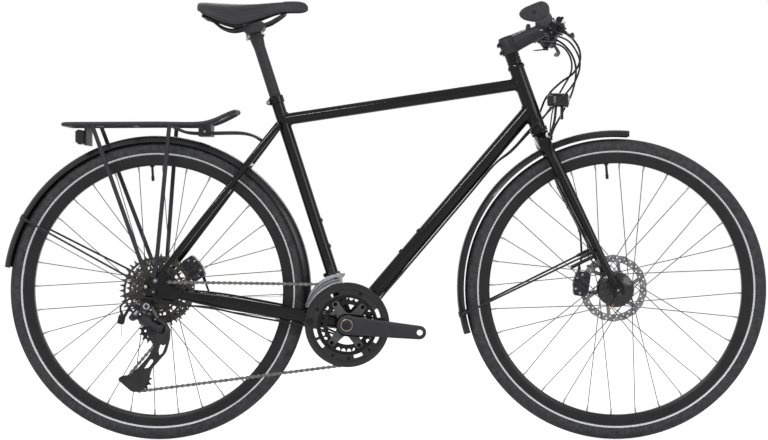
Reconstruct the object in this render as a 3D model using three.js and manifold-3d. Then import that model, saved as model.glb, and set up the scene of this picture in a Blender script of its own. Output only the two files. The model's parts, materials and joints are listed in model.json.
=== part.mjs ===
// Touring bicycle with a steel diamond frame, disc brakes, rack, mudguards and lights.
// Millimetres, +X forward, +Y to the rider's left, +Z up. The drive side is -Y.
// Inside the root group X is measured from the rear axle and Z from the ground.
import * as THREE from 'three';
import { mergeVertices } from 'three/addons/utils/BufferGeometryUtils.js';
import Module from 'manifold-3d';

const wasm = await Module();
wasm.setup();

// Driving dimensions of the whole bicycle
const wheelbase = 1077.5;
const wheelRadius = 353;
const tyreWidth = 42;
const headTiltDeg = 19.5;
const forkOffset = 43;
const seatTiltDeg = 17.6;
const bracketX = 449;
const bracketDrop = 79;
const downTubeAngleDeg = 49.4;
const topTubeSlopeDeg = 8.3;
const topTubeBelowTop = 59.5;
const rearHubWidth = 135;
const frontHubWidth = 100;
const chainPitch = 12.7;
const crankLength = 170;
const crankDropDeg = 5.6;
const clearance = 0.3;
const cutOverrun = 2;
const weldTolerance = 1e-4;

// Frame tubes
const headTubeRadius = 17.8;
const headTubeBore = 15.6;
const headTubeBottom = 419;
const headTubeTop = 565;
const topTubeRadius = 14.3;
const downTubeRadius = 17;
const seatTubeRadius = 14.6;
const seatTubeLength = 564;
const seatTubeBoreDepth = 330;
const tubeSides = 12;
const bossRadius = 4.5;
const bossHeight = 2.2;
const bossSpacing = 64;
const downBossStart = 210;
const seatBossStart = 188;

// Headset, steerer and crown
const cupRadius = 20.5;
const lowerCupHeight = 12;
const upperCupHeight = 12;
const steererRadius = 14.3;
const steererTop = 640;
const spacerRadius = 16.8;
const spacerHeight = 25;
const crownTop = 405;
const crownBottom = 377;
const crownHalfDepth = 17;

// Bottom bracket, crank and chainrings
const shellHalfWidth = 34;
const shellRadius = 20;
const shellBore = 13.2;
const bearingCupRadius = 22;
const bearingCupWidth = 11;
const spindleRadius = 12;
const bigRingTeeth = 46;
const smallRingTeeth = 30;
const bigRingY = 50;
const smallRingY = 42.5;
const ringThickness = 2.2;
const boltCircleRadius = 55;
const spiderDegs = [54, 125, 235, 306];
const pedalEyeRadius = 7;
const armBossRadius = 21;
const armTipHalfHeight = 16;
const armOuterY = 89;
const armThickness = 15;
const guardOuterRadius = 99;
const guardInnerRadius = 68;
const guardY = 56;
const guardThickness = 2.6;
const guardPadRadius = 78;
const windowInnerRadius = 72;
const windowOuterRadius = 80;
const windowHalfDeg = 8;
const windowDegs = [26, 117, 200, 221, 295, 340];

// Rear hub, cassette and derailleur
const sprocketTeeth = [11, 13, 15, 18, 21, 24, 28, 34, 41];
const sprocketSpacing = 4.34;
const smallSprocketY = 61.5;
const sprocketThickness = 1.8;
const freehubRadius = 14.8;
const pulleyTeeth = 13;
const guidePulleyX = -7.6;
const guidePulleyZ = 261;
const tensionPulleyX = -36;
const tensionPulleyZ = 147;
const cagePivotX = 20;
const cagePivotZ = 254;
const hangerX = -17;
const hangerZ = 320;
const linkPivotX = -44;
const linkPivotZ = 300;
const linkPivotY = 86;
const linkEndX = 18;
const linkEndZ = 268;
const linkEndY = 90;

// Wheels
const wheelSegments = 28;
const tyreDepth = 41.3;
const tyreWidestShare = 0.467;
const tyreTreadShare = 0.3;
const rimFlangeHeight = 6.3;
const rimDepth = 26;
const rimBedRadius = wheelRadius - tyreDepth;
const rimOuterRadius = rimBedRadius + rimFlangeHeight;
const rimInnerRadius = rimOuterRadius - rimDepth;
const rimHalfWidth = 12.5;
const rimWall = 1.7;
const seatpostRadius = 13.6;
const spokesPerSide = 16;
const spokeCross = 3;
const spokeRadius = 1.1;
const rearSpokePhase = 0.158;
const frontSpokePhase = 0.16;
const rearValveAngle = 1.618;
const frontValveAngle = 1.64;
const rotorRadius = 80;
const rotorBandWidth = 15;
const rotorThickness = 1.9;
const rearRotorY = 52.2;
const frontRotorY = 39.5;
const axleRadius = 5;
const valveLength = 32;
const valveRadius = 3;

// Mudguards
const guardSheet = 1.6;
const guardLugReach = 12;
const guardLugRadius = 7;
const crownLugDeg = 115;
const frontGuardStations = 13;
const stayEyeX = 16;
const stayEyeZ = 103;
const stayEyeY = 65.2;
const mudguardHalfWidth = 25;
const mudguardDepth = 15;
const rearGuardRadius = 366;
const rearGuardShift = -4;
const rearGuardStartDeg = 171;
const rearGuardEndDeg = -13;
const frontGuardRadius = 371;
const frontGuardShiftX = -1;
const frontGuardShiftZ = 3;
const frontGuardStartDeg = 84.7;
const frontGuardEndDeg = 197;
const stayRodRadius = 2.5;

const rad = THREE.MathUtils.degToRad;
const V = (x, y, z) => new THREE.Vector3(x, y, z);
const axisY = V(0, 1, 0);
const axisZ = V(0, 0, 1);

// Colours and finishes, one per kind of surface
const finishes = {
  gloss: { color: 0x0b0b0d, roughness: 0.15, metalness: 0.1 },
  satin: { color: 0x1b1b1e, roughness: 0.45, metalness: 0.4 },
  plastic: { color: 0x161618, roughness: 0.6, metalness: 0 },
  rubber: { color: 0x2b2b2d, roughness: 0.9, metalness: 0 },
  steel: { color: 0x6e6e70, roughness: 0.35, metalness: 0.9 },
  alloy: { color: 0xa9a9b4, roughness: 0.3, metalness: 0.9 },
  lens: { color: 0xdfe6ea, roughness: 0.05, metalness: 0 },
};

function material(name) {
  return new THREE.MeshStandardMaterial(finishes[name]);
}

// Solids: a welded, outward closed geometry becomes a manifold for joins and cuts
function signedVolume(position, triangles) {
  let sum = 0;
  const corner = (i) => V(position[3 * i], position[3 * i + 1], position[3 * i + 2]);
  for (let i = 0; i < triangles.length; i += 3) {
    const a = corner(triangles[i]);
    sum += a.dot(corner(triangles[i + 1]).cross(corner(triangles[i + 2])));
  }
  return sum;
}

function solid(source) {
  let geometry = source.index ? source.toNonIndexed() : source.clone();
  for (const name of Object.keys(geometry.attributes)) {
    if (name !== 'position') geometry.deleteAttribute(name);
  }
  geometry = mergeVertices(geometry, weldTolerance);
  const position = geometry.attributes.position.array;
  const index = geometry.index.array;
  const triangles = [];
  for (let i = 0; i < index.length; i += 3) {
    const [a, b, c] = [index[i], index[i + 1], index[i + 2]];
    if (a !== b && b !== c && c !== a) triangles.push(a, b, c);
  }
  if (signedVolume(position, triangles) < 0) triangles.reverse();
  return new wasm.Manifold(new wasm.Mesh({
    numProp: 3,
    vertProperties: Float32Array.from(position),
    triVerts: Uint32Array.from(triangles),
  }));
}

function join(...bodies) {
  return bodies.flat().reduce((sum, body) => sum.add(body));
}

function cut(body, ...tools) {
  return tools.flat().reduce((rest, tool) => rest.subtract(tool), body);
}

function moved(body, x, y, z) {
  return body.translate([x, y, z]);
}

function bufferOf(body) {
  const { vertProperties, triVerts } = body.getMesh();
  const geometry = new THREE.BufferGeometry();
  geometry.setAttribute('position', new THREE.BufferAttribute(Float32Array.from(vertProperties), 3));
  geometry.setIndex(new THREE.BufferAttribute(Uint32Array.from(triVerts), 1));
  geometry.computeVertexNormals();
  return geometry;
}

function place(group, name, body, finish) {
  const mesh = new THREE.Mesh(bufferOf(body), material(finish));
  mesh.name = name;
  group.add(mesh);
  return mesh;
}

// A skin over rings of points, with a flat cap on each end
function capOf(ring, offset, flip) {
  const origin = ring[0];
  const across = ring[1].clone().sub(origin).normalize();
  let normal = V(0, 0, 0);
  for (let i = 1; i + 1 < ring.length; i += 1) {
    normal.add(ring[i].clone().sub(origin).cross(ring[i + 1].clone().sub(origin)));
  }
  normal = normal.normalize();
  const up = normal.clone().cross(across);
  const flat = ring.map((p) => {
    const d = p.clone().sub(origin);
    return new THREE.Vector2(d.dot(across), d.dot(up));
  });
  const faces = THREE.ShapeUtils.triangulateShape(flat, []);
  return faces.flatMap(([a, b, c]) => (flip ? [c + offset, b + offset, a + offset]
    : [a + offset, b + offset, c + offset]));
}

function loft(rings, closed = false) {
  const count = rings[0].length;
  const position = rings.flat().flatMap((p) => [p.x, p.y, p.z]);
  const index = [];
  const spans = closed ? rings.length : rings.length - 1;
  for (let i = 0; i < spans; i += 1) {
    const near = i * count;
    const far = ((i + 1) % rings.length) * count;
    for (let j = 0; j < count; j += 1) {
      const next = (j + 1) % count;
      index.push(near + j, near + next, far + j, near + next, far + next, far + j);
    }
  }
  if (!closed) {
    index.push(...capOf(rings[0], 0, true));
    index.push(...capOf(rings[rings.length - 1], (rings.length - 1) * count, false));
  }
  const geometry = new THREE.BufferGeometry();
  geometry.setAttribute('position', new THREE.Float32BufferAttribute(position, 3));
  geometry.setIndex(index);
  return solid(geometry);
}

// A tube through points, with a radius, or a side and a height radius, at each one
function tube(points, radii, sides, side = axisY) {
  const rings = points.map((p, i) => {
    const before = points[Math.max(i - 1, 0)];
    const after = points[Math.min(i + 1, points.length - 1)];
    const tangent = after.clone().sub(before).normalize();
    const lateral = side.clone().addScaledVector(tangent, -side.dot(tangent)).normalize();
    const upright = tangent.clone().cross(lateral);
    const radius = Array.isArray(radii) ? radii[i] : radii;
    const [wide, high] = Array.isArray(radius) ? radius : [radius, radius];
    return Array.from({ length: sides }, (unused, k) => {
      const angle = (k + 0.5) * 2 * Math.PI / sides;
      return p.clone().addScaledVector(lateral, wide * Math.cos(angle))
        .addScaledVector(upright, high * Math.sin(angle));
    });
  });
  return loft(rings);
}

function smooth(points, steps) {
  return new THREE.CatmullRomCurve3(points, false, 'centripetal').getSpacedPoints(steps);
}

function rod(from, to, radius, sides = 8) {
  const reference = Math.abs(to.clone().sub(from).normalize().y) > 0.8 ? axisZ : axisY;
  return tube([from, to], radius, sides, reference);
}

// A cord along hand-picked points, swept as a section along its curve
function cord(points, radius, steps, sides = 6) {
  const shape = new THREE.Shape(Array.from({ length: sides }, (unused, k) => {
    const angle = k * 2 * Math.PI / sides;
    return new THREE.Vector2(radius * Math.cos(angle), radius * Math.sin(angle));
  }));
  const path = new THREE.CatmullRomCurve3(points, false, 'centripetal');
  return solid(new THREE.ExtrudeGeometry(shape, { steps, bevelEnabled: false, extrudePath: path }));
}

// A flat plate cut from an outline in the X-Z plane, from one Y to another
function plate(outline, yLow, yHigh, curveSegments = 6) {
  const geometry = new THREE.ExtrudeGeometry(outline, {
    depth: yHigh - yLow, bevelEnabled: false, curveSegments,
  });
  geometry.rotateX(Math.PI / 2);
  geometry.translate(0, yHigh, 0);
  return solid(geometry);
}

function polygon(points) {
  return new THREE.Shape(points.map(([x, z]) => new THREE.Vector2(x, z)));
}

// A body of revolution about Y, from pairs of radius and place along the axis
function turned(profile, segments) {
  const points = [...profile, profile[0]].map(([radius, along]) => new THREE.Vector2(radius, along));
  return solid(new THREE.LatheGeometry(points, segments));
}

function drum(radius, yLow, yHigh, segments = 16) {
  return turned([[0, yLow], [radius, yLow], [radius, yHigh], [0, yHigh]], segments);
}

function ringAboutY(inner, outer, yLow, yHigh, segments = 16) {
  return turned([[inner, yLow], [outer, yLow], [outer, yHigh], [inner, yHigh]], segments);
}

// The same body stood up, so that its axis runs along Z
function upright(body) {
  return body.rotate([90, 0, 0]);
}

function ringAboutZ(inner, outer, zLow, zHigh, segments = 16) {
  return upright(ringAboutY(inner, outer, zLow, zHigh, segments));
}

function drumAboutZ(radius, zLow, zHigh, segments = 16) {
  return upright(drum(radius, zLow, zHigh, segments));
}

function block(xLow, xHigh, yLow, yHigh, zLow, zHigh) {
  const geometry = new THREE.BoxGeometry(xHigh - xLow, yHigh - yLow, zHigh - zLow);
  geometry.translate((xLow + xHigh) / 2, (yLow + yHigh) / 2, (zLow + zHigh) / 2);
  return solid(geometry);
}

// The corner radius of a many-sided hole or cutter that clears a round piece
function roomFor(radius, sides) {
  return (radius + clearance) / Math.cos(Math.PI / sides);
}

function polar(radius, angle) {
  return [radius * Math.cos(angle), radius * Math.sin(angle)];
}

// Places on the frame
const bracket = V(bracketX, 0, wheelRadius - bracketDrop);
const rearAxle = V(0, 0, wheelRadius);
const frontAxle = V(wheelbase, 0, wheelRadius);
const rearGuardCentre = V(rearGuardShift, 0, wheelRadius);
const frontGuardCentre = V(wheelbase + frontGuardShiftX, 0, wheelRadius + frontGuardShiftZ);
const seatDirection = V(-Math.sin(rad(seatTiltDeg)), 0, Math.cos(rad(seatTiltDeg)));
const headDirection = V(-Math.sin(rad(headTiltDeg)), 0, Math.cos(rad(headTiltDeg)));
const headForward = V(Math.cos(rad(headTiltDeg)), 0, Math.sin(rad(headTiltDeg)));
const downDirection = V(Math.cos(rad(downTubeAngleDeg)), 0, Math.sin(rad(downTubeAngleDeg)));
const topDirection = V(Math.cos(rad(topTubeSlopeDeg)), 0, Math.sin(rad(topTubeSlopeDeg)));
const steerFoot = frontAxle.clone().addScaledVector(headForward, -forkOffset);
const seatPoint = (along) => bracket.clone().addScaledVector(seatDirection, along);
const headPoint = (along) => steerFoot.clone().addScaledVector(headDirection, along);
const steerPoint = (x, y, z) => headPoint(z).addScaledVector(headForward, x).setY(y);
const downPoint = (along) => bracket.clone().addScaledVector(downDirection, along);

function meetHead(start, direction) {
  const gap = steerFoot.clone().sub(start);
  const cross = (a, b) => a.x * b.z - a.z * b.x;
  const along = cross(gap, headDirection) / cross(direction, headDirection);
  return start.clone().addScaledVector(direction, along);
}

const topTubeRear = seatPoint(seatTubeLength - topTubeBelowTop);
const topTubeFront = meetHead(topTubeRear, topDirection);
const downTubeFront = meetHead(bracket, downDirection);

// Plain outer forms that neighbours are mitred against
const headOutside = rod(headPoint(headTubeBottom - lowerCupHeight), headPoint(headTubeTop),
  roomFor(headTubeRadius, 16), 16);
const seatOutside = rod(bracket, seatPoint(seatTubeLength), roomFor(seatTubeRadius, 16), 16);
const shellOutside = moved(
  drum(roomFor(shellRadius, 16), -shellHalfWidth, shellHalfWidth, 16), bracket.x, 0, bracket.z);

function bossesOn(pointAt, start, outward, tubeRadius) {
  return [0, 1].map((count) => {
    const foot = pointAt(start + count * bossSpacing);
    return rod(foot.clone().addScaledVector(outward, tubeRadius / 2),
      foot.clone().addScaledVector(outward, tubeRadius + bossHeight), bossRadius, 6);
  });
}

// Head tube with the two pressed headset cups
function headTube() {
  const profile = [
    [headTubeBore, headTubeBottom - lowerCupHeight + clearance],
    [cupRadius, headTubeBottom - lowerCupHeight + clearance],
    [cupRadius, headTubeBottom],
    [headTubeRadius, headTubeBottom],
    [headTubeRadius, headTubeTop],
    [cupRadius, headTubeTop],
    [spacerRadius + clearance, headTubeTop + upperCupHeight - clearance],
    [headTubeBore, headTubeTop + upperCupHeight - clearance],
  ];
  return upright(turned(profile, 12));
}

function topTube() {
  return cut(rod(topTubeRear, topTubeFront, topTubeRadius, tubeSides), headOutside, seatOutside);
}

function downTube() {
  const upward = V(-downDirection.z, 0, downDirection.x);
  const body = join(rod(bracket, downTubeFront, downTubeRadius, tubeSides),
    bossesOn(downPoint, downBossStart, upward, downTubeRadius));
  const topTubeOutside = rod(topTubeRear, topTubeFront, roomFor(topTubeRadius, tubeSides), tubeSides);
  return cut(body, headOutside, shellOutside, seatOutside, topTubeOutside);
}

function seatTube() {
  const clampHeight = 18;
  const clampRadius = 18;
  const slotWidth = 3;
  const slotLength = 40;
  const top = seatPoint(seatTubeLength);
  const collar = rod(seatPoint(seatTubeLength - clampHeight), top, clampRadius, tubeSides);
  const lug = rod(seatPoint(seatTubeLength - clampHeight / 2).add(V(-clampRadius * 1.4, 0, 0)),
    seatPoint(seatTubeLength - clampHeight / 2), clampHeight / 3, 6);
  const body = join(rod(bracket, top, seatTubeRadius, tubeSides),
    collar, lug, bossesOn(seatPoint, seatBossStart, V(seatDirection.z, 0, -seatDirection.x), seatTubeRadius));
  const bore = rod(seatPoint(seatTubeLength - seatTubeBoreDepth),
    seatPoint(seatTubeLength + cutOverrun), roomFor(seatpostRadius, tubeSides), tubeSides);
  const slot = block(-clampRadius * 2, 0, -slotWidth / 2, slotWidth / 2, -slotLength, cutOverrun)
    .rotate([0, -seatTiltDeg, 0]).translate(top.toArray());
  return cut(body, bore, slot, shellOutside);
}

function bracketShell() {
  const outer = shellHalfWidth + bearingCupWidth;
  const profile = [
    [shellBore, -outer], [bearingCupRadius - 1, -outer],
    [bearingCupRadius, -shellHalfWidth], [shellRadius, -shellHalfWidth],
    [shellRadius, shellHalfWidth], [bearingCupRadius, shellHalfWidth],
    [bearingCupRadius - 1, outer], [shellBore, outer],
  ];
  return moved(turned(profile, 12), bracket.x, 0, bracket.z);
}

// Rear triangle
const dropoutInner = rearHubWidth / 2;
const dropoutThickness = 6;
const dropoutMiddle = dropoutInner + dropoutThickness / 2;
const dropoutTop = 400;
const eyeletRadius = 2.6;
const mudguardEyeX = -17;
const mudguardEyeZ = 365;
const rackEyeX = 5;
const rackEyeZ = 379;
const hangerRadius = 10;
const chainstayEndX = 52;
const chainstayEndZ = 345;
const chainstayRootBehind = 16;
const chainstayRootRise = 2;
const seatstayRadius = 7.5;
const seatstayFootAhead = 9;
const seatstayFootDepth = 8;
const seatstayBelowTop = 71;
const seatstayBehind = 12;
const seatstayTop = seatPoint(seatTubeLength - seatstayBelowTop).add(V(-seatstayBehind, 0, 0));
const seatstayTopY = 19;
const bridgeRadius = 6.5;
const chainBridgeDeg = -11;

const dropoutOutline = [
  [13, 333], [38, 331], [60, 336], [62, 354], [30, 370], [24, dropoutTop], [6, dropoutTop],
  [-4, 388], [-24, 373], [-26, 358], [-13, 352], [-12, 334], [-7, 333],
];
const hangerOutline = [
  [13, 333], [38, 331], [60, 336], [62, 354], [30, 370], [24, dropoutTop], [6, dropoutTop],
  [-4, 388], [-24, 373], [-26, 358], [-20, 346], [-27, 326], [-26, 314], [-17, 309.5],
  [-8, 314], [-6.5, 326], [-7, 333],
];

function rearGuardPoint(radius, angleDeg) {
  const [x, z] = polar(radius, rad(angleDeg));
  return V(rearGuardShift + x, 0, wheelRadius + z);
}

function seatstayPath(sign) {
  const foot = V(rackEyeX + seatstayFootAhead, 0, dropoutTop - seatstayFootDepth);
  const line = (share, y) => foot.clone().lerp(seatstayTop, share).setY(sign * y);
  return smooth([line(0, dropoutMiddle), line(0.35, 56), line(0.62, 40), line(0.78, 35),
    line(0.9, 29), line(1, seatstayTopY)], 6);
}

function chainstayPath(sign) {
  const end = V(chainstayEndX, 0, chainstayEndZ);
  const start = V(bracket.x - chainstayRootBehind, 0, bracket.z + chainstayRootRise);
  const line = (share, y) => end.clone().lerp(start, share).setY(sign * y);
  return smooth([line(0, dropoutMiddle), line(0.3, 54), line(0.6, 41), line(0.82, 33.5), line(1, 25)], 5);
}

function chainstays() {
  const halfWidths = [5, 7.5, 8, 8, 8, 8];
  const halfHeights = [8, 11, 13, 14, 14, 14];
  const pieces = [-1, 1].flatMap((sign) => {
    const path = chainstayPath(sign);
    const sizes = path.map((unused, i) => [halfWidths[i], halfHeights[i]]);
    const outline = polygon(sign < 0 ? hangerOutline : dropoutOutline);
    const low = sign < 0 ? -dropoutInner - dropoutThickness : dropoutInner;
    return [tube(path, sizes, 8), plate(outline, low, low + dropoutThickness)];
  });
  const bridgeAt = rearGuardPoint(rearGuardRadius + clearance + bridgeRadius, chainBridgeDeg);
  const bridge = moved(drum(bridgeRadius, -34, 34, 8), bridgeAt.x, 0, bridgeAt.z);
  const slots = [-1, 1].flatMap((sign) => {
    const y = sign * dropoutMiddle;
    const half = axleRadius + clearance;
    return [
      moved(drum(roomFor(axleRadius, 8), y - dropoutThickness, y + dropoutThickness, 8), 0, 0, wheelRadius),
      block(-half, half, y - dropoutThickness, y + dropoutThickness, wheelRadius - 40, wheelRadius),
      moved(drum(eyeletRadius, y - dropoutThickness, y + dropoutThickness, 5), rackEyeX, 0, rackEyeZ),
      moved(drum(eyeletRadius, y - dropoutThickness, y + dropoutThickness, 5), mudguardEyeX, 0, mudguardEyeZ),
    ];
  });
  return cut(join(...pieces, bridge), slots, shellOutside, seatOutside);
}

function seatstays() {
  const bridgeDeg = 53.5;
  const bridgeAt = rearGuardPoint(rearGuardRadius + clearance + bridgeRadius, bridgeDeg);
  const bridge = moved(drum(bridgeRadius, -34, 34, 8), bridgeAt.x, 0, bridgeAt.z);
  const stays = [-1, 1].map((sign) => tube(seatstayPath(sign), seatstayRadius, 8));
  const below = block(-100, 100, -100, 100, 0, dropoutTop + clearance);
  return cut(join(stays, bridge), below, seatOutside);
}

// Wheels, each in its own group with the axle along Y
function tyre() {
  const half = tyreWidth / 2;
  const bead = rimHalfWidth - rimWall - clearance;
  const side = [[rimBedRadius + clearance, bead], [rimOuterRadius + clearance, bead],
    [rimBedRadius + tyreDepth * tyreWidestShare, half], [wheelRadius, half * tyreTreadShare]];
  const profile = [...side.map(([r, y]) => [r, -y]), ...side.map(([r, y]) => [r, y]).reverse()];
  return turned(profile, wheelSegments);
}

function rim() {
  const shelf = rimHalfWidth - rimWall;
  const profile = [
    [rimInnerRadius, -7], [rimOuterRadius, -rimHalfWidth],
    [rimOuterRadius, -shelf], [rimBedRadius, -shelf], [rimBedRadius, shelf], [rimOuterRadius, shelf],
    [rimOuterRadius, rimHalfWidth], [rimInnerRadius, 7],
  ];
  return turned(profile, wheelSegments);
}

function valve(angle) {
  const [x0, z0] = polar(rimInnerRadius + 5, angle);
  const [x1, z1] = polar(rimInnerRadius - valveLength, angle);
  return rod(V(x0, 0, z0), V(x1, 0, z1), valveRadius, 5);
}

function spokes(flanges, phase) {
  const pieces = [];
  const reach = rimInnerRadius * Math.cos(Math.PI / wheelSegments) - clearance;
  flanges.forEach(({ y, radius }, side) => {
    const sign = Math.sign(y);
    for (let k = 0; k < spokesPerSide; k += 1) {
      const step = 2 * Math.PI / spokesPerSide;
      const hole = phase + (k + side / 2) * step;
      const lean = (k % 2 === 0 ? 1 : -1) * spokeCross * step;
      const [hx, hz] = polar(radius, hole);
      const [rx, rz] = polar(reach, hole + lean);
      const weave = sign * (k % 2 === 0 ? 1 : -1) * 1.6;
      pieces.push(rod(V(hx, y + weave, hz), V(rx, sign * 2, rz), spokeRadius, 3));
    }
  });
  return pieces;
}

function hub(profile, flanges, phase) {
  return join(turned(profile, 10), spokes(flanges, phase));
}

function rearHub() {
  const bore = axleRadius + clearance;
  const right = 21;
  const left = 34;
  const profile = [
    [bore, -67], [9, -67], [9, -60], [freehubRadius, -60], [freehubRadius, -24.2], [30, -24.2],
    [30, -right + 2], [15, -right + 7], [15, left - 6], [30, left - 2.6], [30, left + 2.6],
    [17, left + 6], [17, rearRotorY + 3], [bore, 67],
  ];
  return hub(profile, [{ y: -right - 0.6, radius: 26 }, { y: left, radius: 26 }], rearSpokePhase);
}

function frontHub() {
  const bore = axleRadius + clearance;
  const profile = [
    [bore, -49.7], [11, -49.7], [16, -40], [34, -31], [41, -27.6], [41, -22.4], [36, -19],
    [36, 19], [41, 22.4], [41, 27.6], [17, 33], [17, frontRotorY + 3], [bore, 49.7],
  ];
  return hub(profile, [{ y: -25, radius: 37 }, { y: 25, radius: 37 }], frontSpokePhase);
}

function rotor(y) {
  const inner = rotorRadius - rotorBandWidth;
  const carrier = 26;
  const windows = 5;
  const low = y - rotorThickness / 2;
  const high = y + rotorThickness / 2;
  const outline = polygon(Array.from({ length: 24 }, (unused, k) => polar(rotorRadius, k * 2 * Math.PI / 24)));
  withHole(outline, 17, 12);
  const step = 2 * Math.PI / windows;
  for (let k = 0; k < windows; k += 1) {
    const start = k * step;
    const points = [polar(carrier, start + 0.2 * step), polar(inner, start + 0.42 * step),
      polar(inner, start + 0.84 * step), polar(inner, start + 1.25 * step), polar(carrier, start + 0.8 * step)];
    outline.holes.push(new THREE.Path(points.map(([x, z]) => new THREE.Vector2(x, z)).reverse()));
  }
  return plate(outline, low, high);
}

function axle(hubWidth, plateThickness) {
  const out = hubWidth / 2 + plateThickness + clearance;
  const nutRadius = 8.5;
  const nutLength = 9;
  const profile = [
    [0, -out - nutLength], [nutRadius - 1.5, -out - nutLength],
    [nutRadius, -out], [axleRadius, -out], [axleRadius, out], [nutRadius, out],
    [nutRadius - 1.5, out + nutLength], [0, out + nutLength],
  ];
  return turned(profile, 10);
}

// Toothed wheels of the chain drive
function pitchRadius(teeth) {
  return chainPitch / 2 / Math.sin(Math.PI / teeth);
}

function toothed(teeth, rootRadius, tipRadius) {
  const tipShare = 0.28;
  const points = [];
  for (let k = 0; k < teeth; k += 1) {
    const step = 2 * Math.PI / teeth;
    points.push(polar(rootRadius, (k + tipShare / 2) * step), polar(tipRadius, (k + 0.5) * step));
  }
  return polygon(points);
}

function withHole(outline, radius, sides) {
  const corner = roomFor(radius, sides);
  outline.holes.push(new THREE.Path(Array.from({ length: sides }, (unused, k) => (
    new THREE.Vector2(...polar(corner, -k * 2 * Math.PI / sides))))));
  return outline;
}

const chainHalfHeight = 4.2;
const chainWaistHalfHeight = 3;
const toothRelief = chainHalfHeight + 0.4;

function cassette() {
  const low = -smallSprocketY - 4;
  const last = -smallSprocketY + (sprocketTeeth.length - 1) * sprocketSpacing;
  const pieces = sprocketTeeth.map((teeth, i) => {
    const y = -smallSprocketY + i * sprocketSpacing;
    const carrying = i === 0;
    const tip = pitchRadius(teeth) + (carrying ? -toothRelief : 2);
    const root = carrying ? tip - 0.5 : pitchRadius(teeth) - 3.6;
    const outline = toothed(teeth, root, tip);
    if (i === sprocketTeeth.length - 1) {
      for (let k = 0; k < 5; k += 1) {
        const [x, z] = polar(58, k * 2 * Math.PI / 5);
        outline.holes.push(new THREE.Path().absarc(x, z, 11, 0, 2 * Math.PI, true));
      }
    }
    return plate(outline, y - sprocketThickness / 2, y + sprocketThickness / 2, 3);
  });
  const carrier = drum(freehubRadius + 2.8, low, last, 10);
  const bore = drum(roomFor(freehubRadius, 10), -60 - clearance, last + cutOverrun, 10);
  const axleRoom = drum(roomFor(9, 10), low - cutOverrun, -60, 10);
  return cut(join(pieces, carrier), bore, axleRoom);
}

// Fork, stem and bar: the fork and stem are drawn along the steering axis
const dropoutHalf = frontHubWidth / 2;
const barRadius = 15.9;
const barEndRadius = 11.1;
const barHalfWidth = 296;
const barSweepDeg = 9.6;
const leverTiltDeg = 32;
const barStraight = 40;
const stemReach = 103;
const stemHeight = 632;
const stemClampRadius = 20;
const barCentre = steerFoot.clone().addScaledVector(headForward, stemReach)
  .addScaledVector(headDirection, stemHeight);

function fromSteer(body) {
  return body.rotate([0, -headTiltDeg, 0]).translate(steerFoot.toArray());
}

// A channel is swept in straight steps, so what rests on it is set off from the step's flat
function guardSeat(centre, radius, startDeg, endDeg, stations, angleDeg) {
  const step = (endDeg - startDeg) / stations;
  const middle = rad(startDeg + (Math.floor((angleDeg - startDeg) / step) + 0.5) * step);
  const flat = radius * Math.cos(rad(step / 2)) + clearance;
  const at = (reach) => {
    const [x, z] = polar(flat + reach, middle);
    return V(centre.x + x, 0, centre.z + z);
  };
  return [at(0), at(guardLugReach)];
}

function fork() {
  const lug = rod(...guardSeat(frontGuardCentre, frontGuardRadius, frontGuardStartDeg, frontGuardEndDeg,
    frontGuardStations, crownLugDeg), guardLugRadius, 8);
  const crownOutline = polygon([
    [-22, crownTop], [22, crownTop], [53, 386], [55, 362], [29.5, 362], [22, 377],
    [-22, 377], [-29.5, 362], [-55, 362], [-53, 386],
  ]);
  const crown = plate(crownOutline, -crownHalfDepth, crownHalfDepth).rotate([0, 0, 90]);
  const blades = [-1, 1].map((sign) => tube(
    [V(2, sign * 42, 384), V(10, sign * 44, 300), V(25, sign * 50, 160), V(37, sign * 54, 50),
      V(41.5, sign * 54, 14)], [13, 13, 12, 9, 7.5], 8));
  const ends = [-1, 1].map((sign) => {
    const low = sign < 0 ? -dropoutHalf - 6 : dropoutHalf;
    return plate(polygon([[28, 34], [50, 34], [60, 10], [57, -14], [29, -14], [26, 6]]), low, low + 6);
  });
  const eyes = [-1, 1].map((sign) => rod(V(31, sign * 53, stayEyeZ), V(stayEyeX - 5, sign * 56, stayEyeZ), 4.5, 6));
  const tabs = [rod(V(40, 56, 62), V(2, 54, 66), 6, 6), rod(V(30, 54, 0), V(-16, 54, 6), 5.5, 6)];
  const body = join(
    drumAboutZ(steererRadius, crownTop - 5, steererTop - 2, 10),
    drumAboutZ(cupRadius - 1, crownTop - 5, headTubeBottom - lowerCupHeight, 12),
    drumAboutZ(spacerRadius, headTubeTop + upperCupHeight, headTubeTop + upperCupHeight + spacerHeight, 12),
    crown, blades, ends, eyes, tabs,
  );
  const half = axleRadius + clearance;
  const slots = [-1, 1].flatMap((sign) => {
    const [low, high] = [sign * (dropoutHalf + 3) - 14, sign * (dropoutHalf + 3) + 14];
    return [moved(drum(roomFor(axleRadius, 8), low, high, 8), forkOffset, 0, 0),
      block(forkOffset - half, forkOffset + half, low, high, -40, 0)];
  });
  return join(fromSteer(cut(body, slots)), lug);
}

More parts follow.
